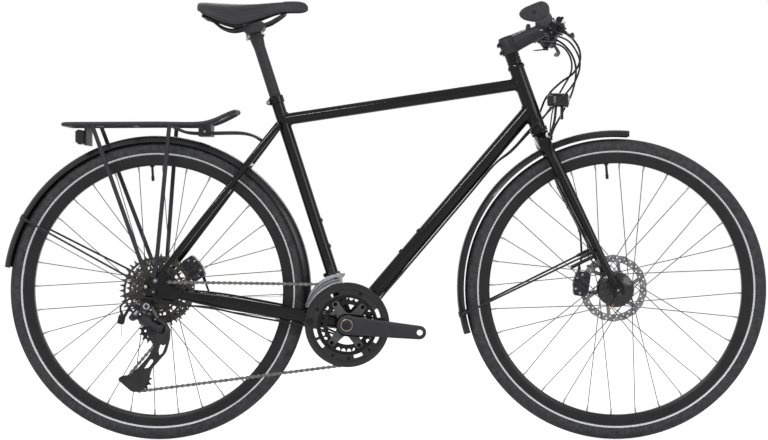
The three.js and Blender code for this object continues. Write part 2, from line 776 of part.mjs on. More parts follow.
function stem() {
  const low = headTubeTop + upperCupHeight + spacerHeight + clearance;
  const sleeve = drumAboutZ(stemClampRadius, low, steererTop, 12);
  const arm = tube([V(12, 0, 621), V(50, 0, 626), V(88, 0, 631)], [[14, 18], [13, 15.5], [15, 15]], 8);
  const clamp = moved(drum(barRadius + 4.6, -23, 23, 12), stemReach, 0, stemHeight);
  const bolts = [612, 631].map((z) => moved(drum(4.5, -12, 12, 5), -stemClampRadius - 1.5, 0, z));
  const ears = [612, 631].map((z) => block(-stemClampRadius - 2, -stemClampRadius + 4, -8, 8, z - 4, z + 4));
  const cap = drumAboutZ(stemClampRadius - 2, steererTop - 1.7, steererTop + 5, 12);
  const body = join(sleeve, arm, clamp, bolts, ears, cap);
  const bore = moved(drum(barRadius + clearance, -40, 40, 12), stemReach, 0, stemHeight);
  const steerHole = drumAboutZ(roomFor(steererRadius, 10), low - 10, steererTop - 1.7, 10);
  const split = block(stemReach + 2, stemReach + 4, -40, 40, stemHeight - 60, stemHeight + 60);
  const keep = block(stemReach - 4, stemReach + 8, -18, 18, stemHeight - 22, stemHeight - 15);
  return cut(body, bore, steerHole, cut(split, keep));
}

function barPoint(along) {
  const out = Math.abs(along);
  const back = Math.max(out - barStraight, 0) * Math.tan(rad(barSweepDeg));
  return V(barCentre.x - back, along, barCentre.z);
}

function handlebar() {
  const stations = [-barHalfWidth, -90, -60, -40, 40, 60, 90, barHalfWidth];
  const radii = [11.1, 11.1, 13, barRadius, barRadius, 13, 11.1, 11.1];
  return tube(stations.map(barPoint), radii, 12, axisZ);
}

// A hand's controls are drawn with Y running out along the bar from the bend
function onBar(side, body) {
  const handed = side > 0 ? body : body.mirror([0, 1, 0]);
  return handed.rotate([0, 0, side * barSweepDeg])
    .translate([barCentre.x, side * barStraight, barCentre.z]);
}

// A point given as a control is drawn, level and before it is tipped
function barSpot(side, x, y, z, tiltDeg = 0) {
  return V(x, y * side, z).applyAxisAngle(axisY, rad(tiltDeg)).applyAxisAngle(axisZ, rad(side * barSweepDeg))
    .add(V(barCentre.x, side * barStraight, barCentre.z));
}

function grip(side) {
  const stations = [128, 134, 190, 214, 236, 256, 264];
  const rear = [17, 18.5, 19, 23, 31, 35, 29];
  const round = [15.5, 17, 17, 17, 17, 17, 14];
  const rings = stations.map((y, i) => Array.from({ length: 10 }, (unused, k) => {
    const angle = k * 2 * Math.PI / 10;
    const wing = Math.max(0, -Math.cos(angle)) ** 3 * (rear[i] - round[i]);
    const radius = round[i] + wing;
    return V(radius * Math.cos(angle), y, radius * Math.sin(angle) - wing * 0.15);
  }));
  return onBar(side, cut(loft(rings), drum(roomFor(barEndRadius, 10), 0, 260.5, 10)));
}

// The master cylinder and lever are drawn level and tipped down about the bar
function tipped(body) {
  return body.rotate([0, leverTiltDeg, 0]);
}

function control(side) {
  const clampRing = drum(15.5, 94, 108, 8);
  const cylinder = tube([V(30, 62, 0), V(32, 84, 0), V(33, 101, 0)], [8, 10.5, 9.5], 6, axisZ);
  const reservoir = block(22, 41, 66, 92, 0, 15);
  const neck = block(12, 30, 95, 107, -7, 7);
  const earRoot = block(25, 32, 96, 108, -10, 10);
  const ears = [-1, 1].map((level) => block(26, 51, 101, 114, level * 8 - 2, level * 8 + 2));
  const shifter = tube([V(12, 52, -26), V(14, 66, -27), V(16, 88, -26)], [[10, 10], [13, 18], [10, 13]], 6, axisZ);
  const shifterNeck = block(-5, 8, 72, 84, -26, -12);
  const shifterRing = drum(15, 72, 84, 8);
  const bore = drum(roomFor(barEndRadius, 8), 60, 130, 8);
  return onBar(side, cut(join(clampRing, tipped(join(cylinder, reservoir, neck, earRoot, ears)), shifter,
    shifterNeck, shifterRing), bore));
}

function brakeLever(side) {
  const root = tube([V(38, 107, 0), V(47, 111.5, 0), V(57, 119, 0)], [[6, 5], [6, 5], [4, 4]], 8, axisZ);
  const blade = tube([V(54, 116.5, 0), V(66, 130, -1), V(77, 150, -2), V(81, 173, -2), V(80, 194, 0)],
    [[3.4, 4], [4, 4.5], [5, 5], [5.5, 5], [6, 4.5]], 8, axisZ);
  return onBar(side, tipped(join(root, blade)));
}

function shiftLever(side) {
  const hubDisc = moved(drumAboutZ(7, -44, -38.6, 8), 12, 68, 0);
  const paddle = tube([V(8, 70, -42.5), V(-6, 80, -43.5), V(-20, 94, -44)], [[2, 5], [2, 5], [3, 8]], 6, axisZ);
  return onBar(side, join(hubDisc, paddle));
}

// Mudguards: a rolled channel swept round the tyre
function channelRing(centre, radius, halfWidth, sheet, depth, angle) {
  const outer = [[depth, halfWidth], [depth * 0.22, halfWidth * 0.82]];
  const inner = [[depth, halfWidth - sheet], [depth * 0.22 + sheet, halfWidth * 0.82 - sheet]];
  const profile = [
    ...outer.map(([d, y]) => [d, -y]), [0, 0], ...outer.map(([d, y]) => [d, y]).reverse(),
    ...inner, [sheet, 0], ...inner.map(([d, y]) => [d, -y]).reverse(),
  ];
  return profile.map(([down, y]) => {
    const [x, z] = polar(radius - down, angle);
    return V(centre.x + x, y, centre.z + z);
  });
}

function channel(centre, radius, startDeg, endDeg, stations, growth = 0, depth = mudguardDepth) {
  const sheet = guardSheet;
  const rings = Array.from({ length: stations + 1 }, (unused, i) => {
    const angle = rad(startDeg + (endDeg - startDeg) * i / stations);
    return channelRing(centre, radius + growth, mudguardHalfWidth + growth, sheet, depth, angle);
  });
  return loft(rings);
}

const strapGrowth = guardSheet + clearance;

function stays(centre, radius, strapDeg, foot, clipShare) {
  const strap = channel(centre, radius, strapDeg - 0.9, strapDeg + 0.9, 1, strapGrowth, mudguardDepth);
  const rods = [-1, 1].flatMap((sign) => {
    const [x, z] = polar(radius - mudguardDepth / 2, rad(strapDeg));
    const end = V(centre.x + x, sign * (mudguardHalfWidth + strapGrowth + stayRodRadius * 0.2), centre.z + z);
    const start = V(foot.x, sign * foot.y, foot.z);
    const clip = start.clone().lerp(end, clipShare);
    return [rod(start, end, stayRodRadius, 5), rod(start, clip, stayRodRadius * 1.8, 6)];
  });
  return join(strap, rods);
}

// Crankset, drawn with the right arm along +X and turned to its place
function onCrank(body) {
  return body.rotate([0, crankDropDeg, 0]).translate(bracket.toArray());
}

function crankArm() {
  const stations = [
    [-20, 9, 72, 79], [-13, 17, 66, 82], [0, armBossRadius, 62, 84], [20, armBossRadius, 64, 85],
    [60, 19, 69, 87], [160, armTipHalfHeight, 74.5, armOuterY], [178, 12, 75, armOuterY], [186, 6, 76, 88],
  ];
  const rings = stations.map(([x, half, inner, outer]) => {
    const soft = 3.5;
    return [[half - soft, outer], [half, outer - soft], [half, inner + soft], [half - soft, inner],
      [soft - half, inner], [-half, inner + soft], [-half, outer - soft], [soft - half, outer]]
      .map(([z, y]) => V(x, -y, z));
  });
  const eyeBoss = moved(drum(12, -armOuterY - 0.5, -armOuterY + armThickness - 0.5, 10), crankLength, 0, 0);
  const eye = moved(drum(pedalEyeRadius, -armOuterY - 5, -armOuterY + 20, 8), crankLength, 0, 0);
  return cut(join(loft(rings), eyeBoss), eye);
}

function spider() {
  const points = spiderDegs.flatMap((deg) => [[-26, 27], [-10, 48], [-7, 61], [7, 61], [10, 48],
    [26, 27]].map(([turn, radius]) => polar(radius, rad(deg + turn))));
  return plate(polygon(points), -57.5, -bigRingY + ringThickness / 2 - ringThickness - clearance);
}

function crankRight() {
  const spindle = drum(spindleRadius, -70, 84, 12);
  const boss = drum(armBossRadius + 3, -66, -52, 12);
  const hollow = drum(8, 40, 90, 6);
  return onCrank(cut(join(crankArm(), spider(), spindle, boss), hollow));
}

function crankLeft() {
  const arm = crankArm().rotate([0, 0, 180]);
  const body = join(arm, drum(armBossRadius, 56, 66, 12));
  return onCrank(cut(body, drum(spindleRadius + clearance + 0.4, 50, 100, 12)));
}

// The long windows that the guard and the big ring share
function ringWindow(deg) {
  return [[-windowHalfDeg, windowInnerRadius], [windowHalfDeg, windowInnerRadius],
    [windowHalfDeg, windowOuterRadius], [-windowHalfDeg, windowOuterRadius]]
    .map(([turn, radius]) => polar(radius, rad(deg + turn)));
}

function chainrings() {
  const big = toothed(bigRingTeeth, pitchRadius(bigRingTeeth) - toothRelief - 4,
    pitchRadius(bigRingTeeth) - toothRelief);
  const holePoints = spiderDegs.flatMap((deg) => [
    [deg - 15, 63], [deg - 8, 49], [deg + 8, 49], [deg + 15, 63], [deg + 32, 63],
  ].map(([turn, radius]) => polar(radius, rad(turn))));
  big.holes.push(new THREE.Path(holePoints.map(([x, z]) => new THREE.Vector2(x, z)).reverse()));
  for (const deg of windowDegs) {
    big.holes.push(new THREE.Path(ringWindow(deg).map(([x, z]) => new THREE.Vector2(x, z)).reverse()));
  }
  const small = withHole(toothed(smallRingTeeth, pitchRadius(smallRingTeeth) - 3.6,
    pitchRadius(smallRingTeeth) + 2), 47, 10);
  const half = ringThickness / 2;
  const columns = spiderDegs.map((deg) => {
    const [x, z] = polar(boltCircleRadius, rad(deg));
    return moved(drum(4.5, -bigRingY - half, -smallRingY + 3, 5), x, 0, z);
  });
  return onCrank(join(plate(big, -bigRingY - half, -bigRingY + half),
    plate(small, -smallRingY - half, -smallRingY + half, 8), columns));
}

function chainGuard() {
  const outer = guardY + guardThickness / 2;
  const inner = guardY - guardThickness / 2;
  const profile = [
    [guardInnerRadius, -inner], [guardInnerRadius, -outer],
    [guardOuterRadius - 2, -outer], [guardOuterRadius, -inner],
  ];
  const pads = [8, 72, 158, 250, 278, 317].map((deg) => {
    const [x, z] = polar(guardPadRadius, rad(deg));
    return moved(drum(5, -outer + 0.5, -bigRingY - ringThickness / 2 - clearance, 5), x, 0, z);
  });
  const slots = windowDegs.map((deg) => (
    plate(polygon(ringWindow(deg)), -outer - cutOverrun, -inner + cutOverrun)));
  return onCrank(cut(join(turned(profile, 26), pads), slots));
}

// Chain: the loop round big ring, small sprocket, guide pulley and tension pulley
const chainWheels = [
  { x: 0, z: wheelRadius, radius: pitchRadius(sprocketTeeth[0]), turn: 1, y: -smallSprocketY },
  { x: guidePulleyX, z: guidePulleyZ, radius: pitchRadius(pulleyTeeth), turn: -1, y: -smallSprocketY },
  { x: tensionPulleyX, z: tensionPulleyZ, radius: pitchRadius(pulleyTeeth), turn: 1, y: -smallSprocketY },
  { x: bracket.x, z: bracket.z, radius: pitchRadius(bigRingTeeth), turn: 1, y: -bigRingY },
];

// Heading of the straight run that leaves wheel a and meets wheel b
function runHeading(a, b) {
  const distance = Math.hypot(b.x - a.x, b.z - a.z);
  const lean = Math.asin((b.turn * b.radius - a.turn * a.radius) / distance);
  return Math.atan2(b.z - a.z, b.x - a.x) - lean;
}

function onWheel(wheel, heading) {
  return V(wheel.x + wheel.turn * wheel.radius * Math.sin(heading), wheel.y,
    wheel.z - wheel.turn * wheel.radius * Math.cos(heading));
}

function chainPieces() {
  const count = chainWheels.length;
  const headings = chainWheels.map((wheel, i) => runHeading(wheel, chainWheels[(i + 1) % count]));
  return chainWheels.flatMap((wheel, i) => {
    const arrive = headings[(i + count - 1) % count];
    const leave = headings[i];
    const full = 2 * Math.PI;
    const sweep = wheel.turn * ((((leave - arrive) * wheel.turn) % full + full) % full);
    const start = onWheel(wheel, leave);
    const end = onWheel(chainWheels[(i + 1) % count], leave);
    return [
      { length: Math.abs(sweep) * wheel.radius,
        at: (share) => ({ point: onWheel(wheel, arrive + sweep * share), heading: arrive + sweep * share }) },
      { length: start.distanceTo(end), at: (share) => ({ point: start.clone().lerp(end, share), heading: leave }) },
    ];
  });
}

function chainAt(pieces, distance) {
  let rest = distance;
  for (const piece of pieces) {
    if (rest <= piece.length) return piece.at(rest / piece.length);
    rest -= piece.length;
  }
  return pieces[0].at(0);
}

function chain() {
  const outerHalf = 3;
  const innerHalf = 2.1;
  const pieces = chainPieces();
  const length = pieces.reduce((sum, piece) => sum + piece.length, 0);
  const links = 2 * Math.round(length / chainPitch / 2);
  const pitch = length / links;
  const rings = [];
  for (let i = 0; i < links; i += 1) {
    const { point, heading } = chainAt(pieces, i * pitch);
    const up = V(-Math.sin(heading), 0, Math.cos(heading));
    const wide = i % 2 ? outerHalf : innerHalf;
    const high = i % 2 ? chainHalfHeight : chainWaistHalfHeight;
    rings.push([[-wide, -high], [wide, -high], [wide, high], [-wide, high]].map(([y, z]) => (
      point.clone().addScaledVector(axisY, y).addScaledVector(up, z))));
  }
  return loft(rings, true);
}

// Rear derailleur: a parallelogram link on a tilted pivot, a knuckle, and the pulley cage
const linkStart = V(linkPivotX, -linkPivotY, linkPivotZ);
const linkEnd = V(linkEndX, -linkEndY, linkEndZ);
const pivotDirection = V(0.426, 0.603, 0.674).normalize();
const eyeRadius = 7.5;
const eyeHalf = 8;
const lugThickness = 4.5;
const linkStationShares = [0, 0.2, 0.31, 0.5, 0.64, 1];
const linkHalfWidths = [6.5, 6.5, 12.5, 12.5, 7, 7];
const linkHalfHeights = [6.5, 7, 14, 13.5, 7, 7];
const linkSwingDeg = 32;
const slotReach = 60;
const slotRadius = 11;

const knuckleTarget = V(hangerX - 6, -dropoutInner - dropoutThickness - 12, hangerZ - 3);

// Two round lugs either side of the link's eye, each carried past the eye by a bent arm
function derailleurMount() {
  const outer = dropoutInner + dropoutThickness;
  const knuckle = moved(drum(11, -outer - 20, -outer - clearance, 10), hangerX, 0, hangerZ);
  const head = moved(drum(6, -outer - 23, -outer - 19, 6), hangerX, 0, hangerZ);
  const reach = knuckleTarget.clone().sub(linkStart);
  const away = reach.clone().addScaledVector(pivotDirection, -reach.dot(pivotDirection)).normalize();
  const lugs = [-1, 1].flatMap((side) => {
    const onAxis = (along) => linkStart.clone().addScaledVector(pivotDirection, side * along);
    const middle = onAxis(eyeHalf + clearance + lugThickness / 2);
    const elbow = middle.clone().addScaledVector(away, 15);
    return [
      rod(onAxis(eyeHalf + clearance), onAxis(eyeHalf + clearance + lugThickness), eyeRadius, 8),
      tube([middle, elbow, knuckleTarget], lugThickness / 2, 5),
    ];
  });
  const barrel = tube([V(-22, -85, 322), V(-52, -85, 322), V(-66, -84, 298)], 4, 5);
  return join(knuckle, head, lugs, barrel);
}

function derailleurLink() {
  const eye = (at) => rod(at.clone().addScaledVector(pivotDirection, -eyeHalf),
    at.clone().addScaledVector(pivotDirection, eyeHalf), eyeRadius, 10);
  const stations = linkStationShares.map((share) => linkStart.clone().lerp(linkEnd, share));
  const sizes = linkHalfWidths.map((wide, i) => [wide, linkHalfHeights[i]]);
  const arm = tube(stations, sizes, 8, pivotDirection);
  return join(eye(linkStart), eye(linkEnd), arm);
}

function derailleurKnuckle() {
  const shell = tube([V(8, -86, 290), V(16, -85, 282), V(24, -84, 262), V(24, -83, 244), V(18, -82, 232)],
    [[6, 8], [9, 15], [11, 18], [11, 16], [6, 8]], 8);
  const pivotBoss = moved(drum(9, -86, -72.2, 8), cagePivotX, 0, cagePivotZ);
  const slots = [0, 0.5, 1].map((share) => {
    const swing = rad(linkSwingDeg * share);
    const towards = linkStart.clone().sub(linkEnd).applyAxisAngle(pivotDirection, swing).normalize();
    const end = linkEnd.clone().addScaledVector(towards, slotReach);
    return tube([linkEnd.clone().addScaledVector(towards, -eyeRadius), end], slotRadius, 6);
  });
  const room = rod(linkEnd.clone().addScaledVector(pivotDirection, -eyeHalf - clearance),
    linkEnd.clone().addScaledVector(pivotDirection, eyeHalf + clearance), eyeRadius + 4, 8);
  return cut(join(cut(shell, slots), pivotBoss), room);
}

function derailleurCage() {
  const outline = [
    [34, 258], [34, 238], [26, 210], [-8, 172], [-14, 150], [-24, 125], [-40, 119], [-54, 120],
    [-86, 148], [-80, 156], [-56, 158], [-46, 172], [-24, 198], [-10, 224], [-26, 250], [-22, 272],
    [-6, 282], [18, 274],
  ];
  const middle = -smallSprocketY;
  const outerPlate = plate(polygon(outline), middle - 9, middle - 7);
  const innerPlate = plate(polygon(outline), middle + 7, middle + 9);
  const windows = [
    [[26, 234], [18, 212], [6, 200], [2, 214], [12, 236]],
    [[-2, 192], [-16, 174], [-30, 172], [-12, 198]],
  ].map((points) => plate(polygon(points), middle - 12, middle + 12));
  const pins = [[guidePulleyX, guidePulleyZ], [tensionPulleyX, tensionPulleyZ]].map(([x, z]) => (
    moved(drum(3, middle - 8, middle + 8, 6), x, 0, z)));
  const stop = moved(drum(2.5, middle - 8, middle + 8, 6), -78, 0, 150);
  const stub = moved(drum(7, middle - 10.2, middle - 8, 8), cagePivotX, 0, cagePivotZ);
  return join(cut(join(outerPlate, innerPlate), windows), pins, stop, stub);
}

function pulley(x, z) {
  const outline = withHole(toothed(pulleyTeeth, pitchRadius(pulleyTeeth) - toothRelief - 3,
    pitchRadius(pulleyTeeth) - toothRelief), 5, 6);
  const low = -smallSprocketY - 1.2;
  const hubRing = ringAboutY(roomFor(3, 8), 8, -smallSprocketY - 6.5, -smallSprocketY + 6.5, 8);
  return moved(join(plate(outline, low, low + 2.4, 3), hubRing), x, 0, z);
}

// Front derailleur: a band on the seat tube and a cage over the big ring
function frontDerailleurBody() {
  const band = rod(seatPoint(108), seatPoint(124), seatTubeRadius + 4, 10);
  const link = block(bracketX - 45, bracketX - 24, -33.5, -12, 376, 395);
  const arm = tube([V(bracketX - 38, -22, 392), V(bracketX - 40, -24, 412)], [[4, 5], [3, 4]], 6);
  const bore = moved(drum(roomFor(4, 8), -40, -20, 8), bracketX - 34, 0, bracket.z + 111);
  return cut(join(band, link, arm), seatOutside, bore);
}

function frontDerailleurCage() {
  const plateFrom = (inner, outer) => {
    const low = [156, 144, 132, 120, 108, 96].map((deg) => polar(inner(deg), rad(deg)));
    const high = [96, 108, 120, 132, 144, 156].map((deg) => polar(outer(deg), rad(deg)));
    return polygon([...low, ...high].map(([x, z]) => [x + bracket.x, z + bracket.z]));
  };
  const swell = (deg) => Math.sin(rad(Math.min(90, (156 - deg) * 2)));
  const outerPlate = plate(plateFrom(() => 102.5, (deg) => 106 + 9 * swell(deg)), -57.9, -56.4);
  const innerPlate = plate(plateFrom(() => 102.5, (deg) => 106 + 15 * swell(deg)), -43.6, -42.1);
  const bridgeAt = (deg, radius) => {
    const [x, z] = polar(radius, rad(deg));
    return block(bracket.x + x - 3, bracket.x + x + 3, -57.9, -42.1, bracket.z + z - 2.5, bracket.z + z + 2.5);
  };
  const pin = moved(drum(4, -43, -28, 8), bracket.x - 34, 0, bracket.z + 111);
  return join(outerPlate, innerPlate, bridgeAt(153.5, 104.5), bridgeAt(104, 112), pin);
}

// Saddle and seatpost
const postInsertion = 224;
const postHeadAbove = 148;
const postHeadAlong = seatTubeLength + postHeadAbove;
const railRadius = 3.5;

const saddlePlan = [
  [99, 34, 1029, 1014], [104, 52, 1031, 1009], [116, 66, 1031.5, 1002], [135, 73, 1030.5, 993],
  [160, 72, 1029, 984], [185, 62, 1028, 978], [210, 45, 1028, 981], [235, 32, 1029, 989],
  [260, 24, 1031, 998], [285, 20, 1033, 1006], [310, 18.5, 1034.5, 1009], [335, 17, 1034, 1009],
  [350, 12, 1030, 1011], [357, 5, 1022, 1015],
];

function saddleCover() {
  const thickness = 9;
  const rings = saddlePlan.map(([x, half, top, edge]) => {
    const drop = top - edge;
    const outer = [0, 0.12, 0.32, 0.6, 0.85, 1].map((share) => {
      const angle = share * Math.PI / 2;
      return [half * Math.sin(angle) ** 0.9, top - drop * (1 - Math.cos(angle)) ** 1.15 - (share === 0 ? 1.2 : 0)];
    });
    const wall = Math.min(thickness, half * 0.45);
    const roof = Math.min(thickness, drop * 0.5);
    const inner = [[half - wall, edge], [(half - wall) * 0.85, top - roof - (drop - roof) * 0.35],
      [(half - wall) * 0.5, top - roof - (drop - roof) * 0.06], [0, top - roof]];
    const right = [...outer.map(([y, z]) => [y, z]), ...inner];
    const left = right.slice(1, -1).map(([y, z]) => [-y, z]).reverse();
    return [...right, ...left].map(([y, z]) => V(x, y, z));
  });
  return loft(rings);
}

function saddleShell() {
  const rings = saddlePlan.slice(1, -1).map(([x, half, top, edge]) => {
    const drop = top - edge;
    const wall = Math.min(9, half * 0.45);
    const roof = Math.min(9, drop * 0.5);
    const inside = (half - wall) * 0.8 - clearance;
    const crest = top - roof - (drop - roof) * 0.42 - clearance;
    return [[inside, crest], [inside, crest - 4], [-inside, crest - 4], [-inside, crest]].map(([y, z]) => V(x, y, z));
  });
  return loft(rings);
}

function saddleRailPath(sign) {
  return smooth([V(112, sign * 34, 998), V(132, sign * 28, 990), V(152, sign * 23, 974),
    V(178, sign * 22, 965.5), V(215, sign * 22, 971.5), V(262, sign * 22, 980), V(285, sign * 18, 992),
    V(303, sign * 9, 1005)], 8);
}

function saddleRails() {
  const side = (sign) => tube(saddleRailPath(sign), railRadius, 5);
  const nose = rod(V(302, -11, 1004), V(302, 11, 1004), railRadius, 5);
  const rear = rod(V(113, -36, 997), V(113, 36, 997), railRadius, 5);
  return join(side(-1), side(1), nose, rear);
}

function seatpost() {
  const head = seatPoint(postHeadAlong);
  const shaft = rod(seatPoint(seatTubeLength - postInsertion), seatPoint(postHeadAlong - 8), seatpostRadius,
    tubeSides);
  const neck = tube([seatPoint(postHeadAlong - 26), seatPoint(postHeadAlong - 8), V(head.x + 2, 0, head.z + 6)],
    [[13.6, 13.6], [15, 15], [17, 20]], 8);
  const cradle = plate(polygon([[206, 962], [214, 956], [246, 961], [254, 970], [256, 981], [250, 985],
    [208, 977], [203, 970]]), -29, 29);
  const bolts = [[214, 947], [248, 953]].map(([x, z]) => rod(V(x, 0, z), V(x - 6, 0, z + 34), 3.5, 5));
  const grooves = [-1, 1].map((sign) => tube(saddleRailPath(sign).slice(2, 7), railRadius + clearance * 3, 5));
  return cut(join(shaft, neck, cradle, bolts), grooves);
}

// Rack, lights and brakes
const rackHalf = 56;
const rackTubeRadius = 5;
const rackDeckZ = 745;

function rack() {
  const rail = (sign) => tube([V(-214, sign * 44, rackDeckZ), V(-206, sign * rackHalf, rackDeckZ),
    V(112, sign * rackHalf, rackDeckZ), V(140, sign * (rackHalf - 2), 752),
    V(176, sign * (rackHalf - 7), 768), V(187, sign * (rackHalf - 18), 773), V(189, 0, 774)],
  rackTubeRadius, 5);
  const rear = rod(V(-214, -46, rackDeckZ), V(-214, 46, rackDeckZ), rackTubeRadius, 5);
  const crossbars = [-140, -55, 30, 110].map((x) => rod(V(x, -rackHalf, rackDeckZ), V(x, rackHalf, rackDeckZ), 4, 4));
  const slat = block(-216, 116, -17, 17, rackDeckZ + 1.5, rackDeckZ + 5);
  const leg = (sign) => {
    const foot = V(2, sign * 79, 386);
    return [
      tube([V(-146, sign * rackHalf, 742), V(-22, sign * 79, 404), foot], rackTubeRadius, 5),
      tube([V(36, sign * rackHalf, 742), V(6, sign * 79, 404), foot], rackTubeRadius, 5),
      plate(polygon([[-10, 392], [12, 392], [13, 372], [4, 368], [-4, 374]]),
        ...(sign < 0 ? [-80, -74.4] : [74.4, 80])),
    ];
  };
  const strut = (sign) => tube([V(40, sign * 20, 738), V(70, sign * 24, 726), V(205, sign * 24, 723),
    V(232, sign * 27, 715), V(248, sign * 38, 705)], 3.5, 4);
  const slider = block(100, 130, -30, 30, 716, rackDeckZ - 1);
  const lightPlate = block(-168, -163, -36, 36, 696, rackDeckZ + 3);
  return join(rail(-1), rail(1), rear, crossbars, slat, leg(-1), leg(1), strut(-1), strut(1), slider, lightPlate);
}

function rearLight() {
  const right = -168 - clearance;
  const outline = polygon([[right, 731], [right, 699], [-180, 697], [-187, 704], [-187, 728], [-182, 733]]);
  return plate(outline, -46, 46);
}

function caliper(centreX, centreZ, rotorY, hubX) {
  const outward = V(centreX - hubX, 0, centreZ - wheelRadius);
  const turn = -Math.atan2(outward.z, outward.x) * 180 / Math.PI;
  const slotEnd = rotorRadius + 2 - outward.length();
  const halfGap = rotorThickness / 2 + 0.8;
  const half = [[-19, 21], [-13, 29], [12.5, 29], [16, 22], [17, 12], [19, 7]];
  const outline = [...half, ...half.map(([x, z]) => [x, -z]).reverse()];
  const shaped = plate(polygon(outline), -14, 16);
  const piston = moved(drum(12, 10, 20, 8), -3, 0, 0);
  const slot = block(-40, slotEnd, -halfGap, halfGap, -40, 40);
  return cut(join(shaped, piston), slot).rotate([0, turn, 0]).translate([centreX, rotorY, centreZ]);
}

function headlight() {
  const shell = tube([V(923, 0, 798), V(930, 0, 799), V(952, 0, 797), V(966, 0, 796)],
    [[10, 9], [15, 14], [19, 16], [20, 17]], 10);
  const fin = block(950, 957, -5, 5, 752, 786);
  const arms = [-1, 1].map((sign) => tube([V(941, sign * 7, 791), V(936, sign * 8, 748), steerPoint(20, sign * 8, 390)],
    2.5, 6));
  const foot = fromSteer(block(crownHalfDepth + clearance, crownHalfDepth + 6, -11, 11, 380, 399));
  return join(shell, fin, arms, foot);
}

function headlightLens() {
  return tube([V(966.3, 0, 795.98), V(968.3, 0, 795.84), V(970.3, 0, 795.7)], [[19.5, 16.5], [19, 16], [15, 12]], 10);
}

// Hoses and cables, each along its own route
const hoseRadius = 2.6;
const bladeLow = 160;
const bladeHigh = 300;
const cableRadius = 2.3;
const underTube = V(downDirection.z, 0, -downDirection.x);

function belowDownTube(along, y, lift = 0) {
  return downPoint(along).addScaledVector(underTube, downTubeRadius + hoseRadius + 1 + lift).setY(y);
}

// Behind a fork blade, on its outer side
function alongBlade(side, level) {
  const share = (level - bladeLow) / (bladeHigh - bladeLow);
  const along = (low, high) => low + (high - low) * share;
  const lift = along(12, 13) + hoseRadius + 0.8;
  return steerPoint(along(25, 10) - lift * 0.7, side * (along(50, 44) + lift * 0.7), level);
}

function frontBrakeHose() {
  return cord([
    barSpot(1, 29.97, 61.7, 0, leverTiltDeg), barSpot(1, 29.2, 53, 0, leverTiltDeg), V(966, 82, 935), V(986, 70, 905), V(992, 56, 870), V(982, 42, 820), V(958, 44, 770),
    V(935, 60, 722), steerPoint(7, 61, 345), alongBlade(1, 270), alongBlade(1, 215), alongBlade(1, 155),
    steerPoint(8, 72.5, 120), steerPoint(2, 73.6, 101), steerPoint(-6, 69, 84), V(998, 50, 406), V(997.3, 46, 395),
  ], hoseRadius, 20, 4);
}

function rearBrakeHose() {
  return cord([
    barSpot(-1, 29.97, 61.7, 0, leverTiltDeg), barSpot(-1, 29.2, 53, 0, leverTiltDeg), V(968, -82, 938), V(988, -70, 912), V(992, -52, 885), V(978, -28, 858), V(950, -6, 838),
    V(919, 14, 806), V(904, 32, 770), V(892, 42, 742), V(877, 44, 724), belowDownTube(560, 34, 8),
    belowDownTube(515, 16), belowDownTube(420, 9), belowDownTube(300, 9), belowDownTube(180, 9),
    belowDownTube(80, 10, 1), V(470, 14, 246), V(430, 20, 247), V(395, 31, 260), V(364, 34, 270), V(281, 42, 285.5),
    V(166, 54, 308), V(132, 67, 314), V(114, 74, 336), V(104, 70, 362), V(99, 60, 380),
  ], hoseRadius, 40, 4);
}

function shiftCables() {
  const rear = cord([
    barSpot(-1, 11.96, 51.7, -26), barSpot(-1, 11, 45, -25.5), V(962, -76, 930), V(980, -76, 908), V(990, -74, 880), V(984, -54, 845), V(962, -38, 812),
    V(926, -34, 775), V(896, -32, 744), V(877, -36, 728), belowDownTube(560, -20, 8), belowDownTube(515, -8),
    belowDownTube(400, -8), belowDownTube(250, -8), belowDownTube(90, -8), V(482, -8, 256), V(455, -14, 247),
    V(420, -26, 250), V(380, -36, 264), V(300, -42, 280), V(200, -52, 299), V(120, -74, 318), V(60, -86, 322),
    V(20, -88, 332), V(-20, -88, 340), V(-56, -86, 336), V(-76, -84, 318), V(-72, -84, 300),
  ], cableRadius, 44, 4);
  const front = cord([
    barSpot(1, 11.96, 51.7, -26), barSpot(1, 11, 45, -25.5), V(962, 76, 930), V(980, 76, 905), V(982, 66, 872), V(960, 50, 830), V(935, 44, 790), V(914, 35, 760),
    V(896, 28, 738), V(880, 26, 724), belowDownTube(558, 16, 10), belowDownTube(512, -1.5), belowDownTube(400, -1.5),
    belowDownTube(250, -1.5), belowDownTube(90, -2), V(478, -4, 255), V(455, -10, 248),
  ], cableRadius, 26, 4);
  const guide = block(444, 470, -20, 4, 244, 251);
  return join(rear, front, guide);
}

function headlightCable() {
  return cord([
    V(936, -6, 784.6), V(931, -13, 771), V(926, -34, 748), V(922, -57, 712), steerPoint(6, -59, 340),
    alongBlade(-1, 270), alongBlade(-1, 215), alongBlade(-1, 155), steerPoint(10, -71.5, 120), steerPoint(4, -72.6, 101),
    steerPoint(10, -66, 82), steerPoint(20, -56.5, 64), steerPoint(21, -48, 38), steerPoint(32.3, -46, 11),
  ], cableRadius - 0.7, 20, 4);
}

// Assembly: level group for the frame, tilted group for what turns with the bar
const rearTipReach = rearGuardRadius * Math.cos(rad(180 - rearGuardStartDeg)) - rearGuardShift;
const bicycle = new THREE.Group();
bicycle.position.x = (rearTipReach - wheelbase - wheelRadius) / 2;
const frontEnd = new THREE.Group();
frontEnd.position.copy(steerFoot);
frontEnd.rotation.y = -rad(headTiltDeg);
const rearWheel = new THREE.Group();
rearWheel.position.copy(rearAxle);
const frontWheel = new THREE.Group();
frontWheel.position.copy(frontAxle);
bicycle.add(frontEnd, rearWheel, frontWheel);

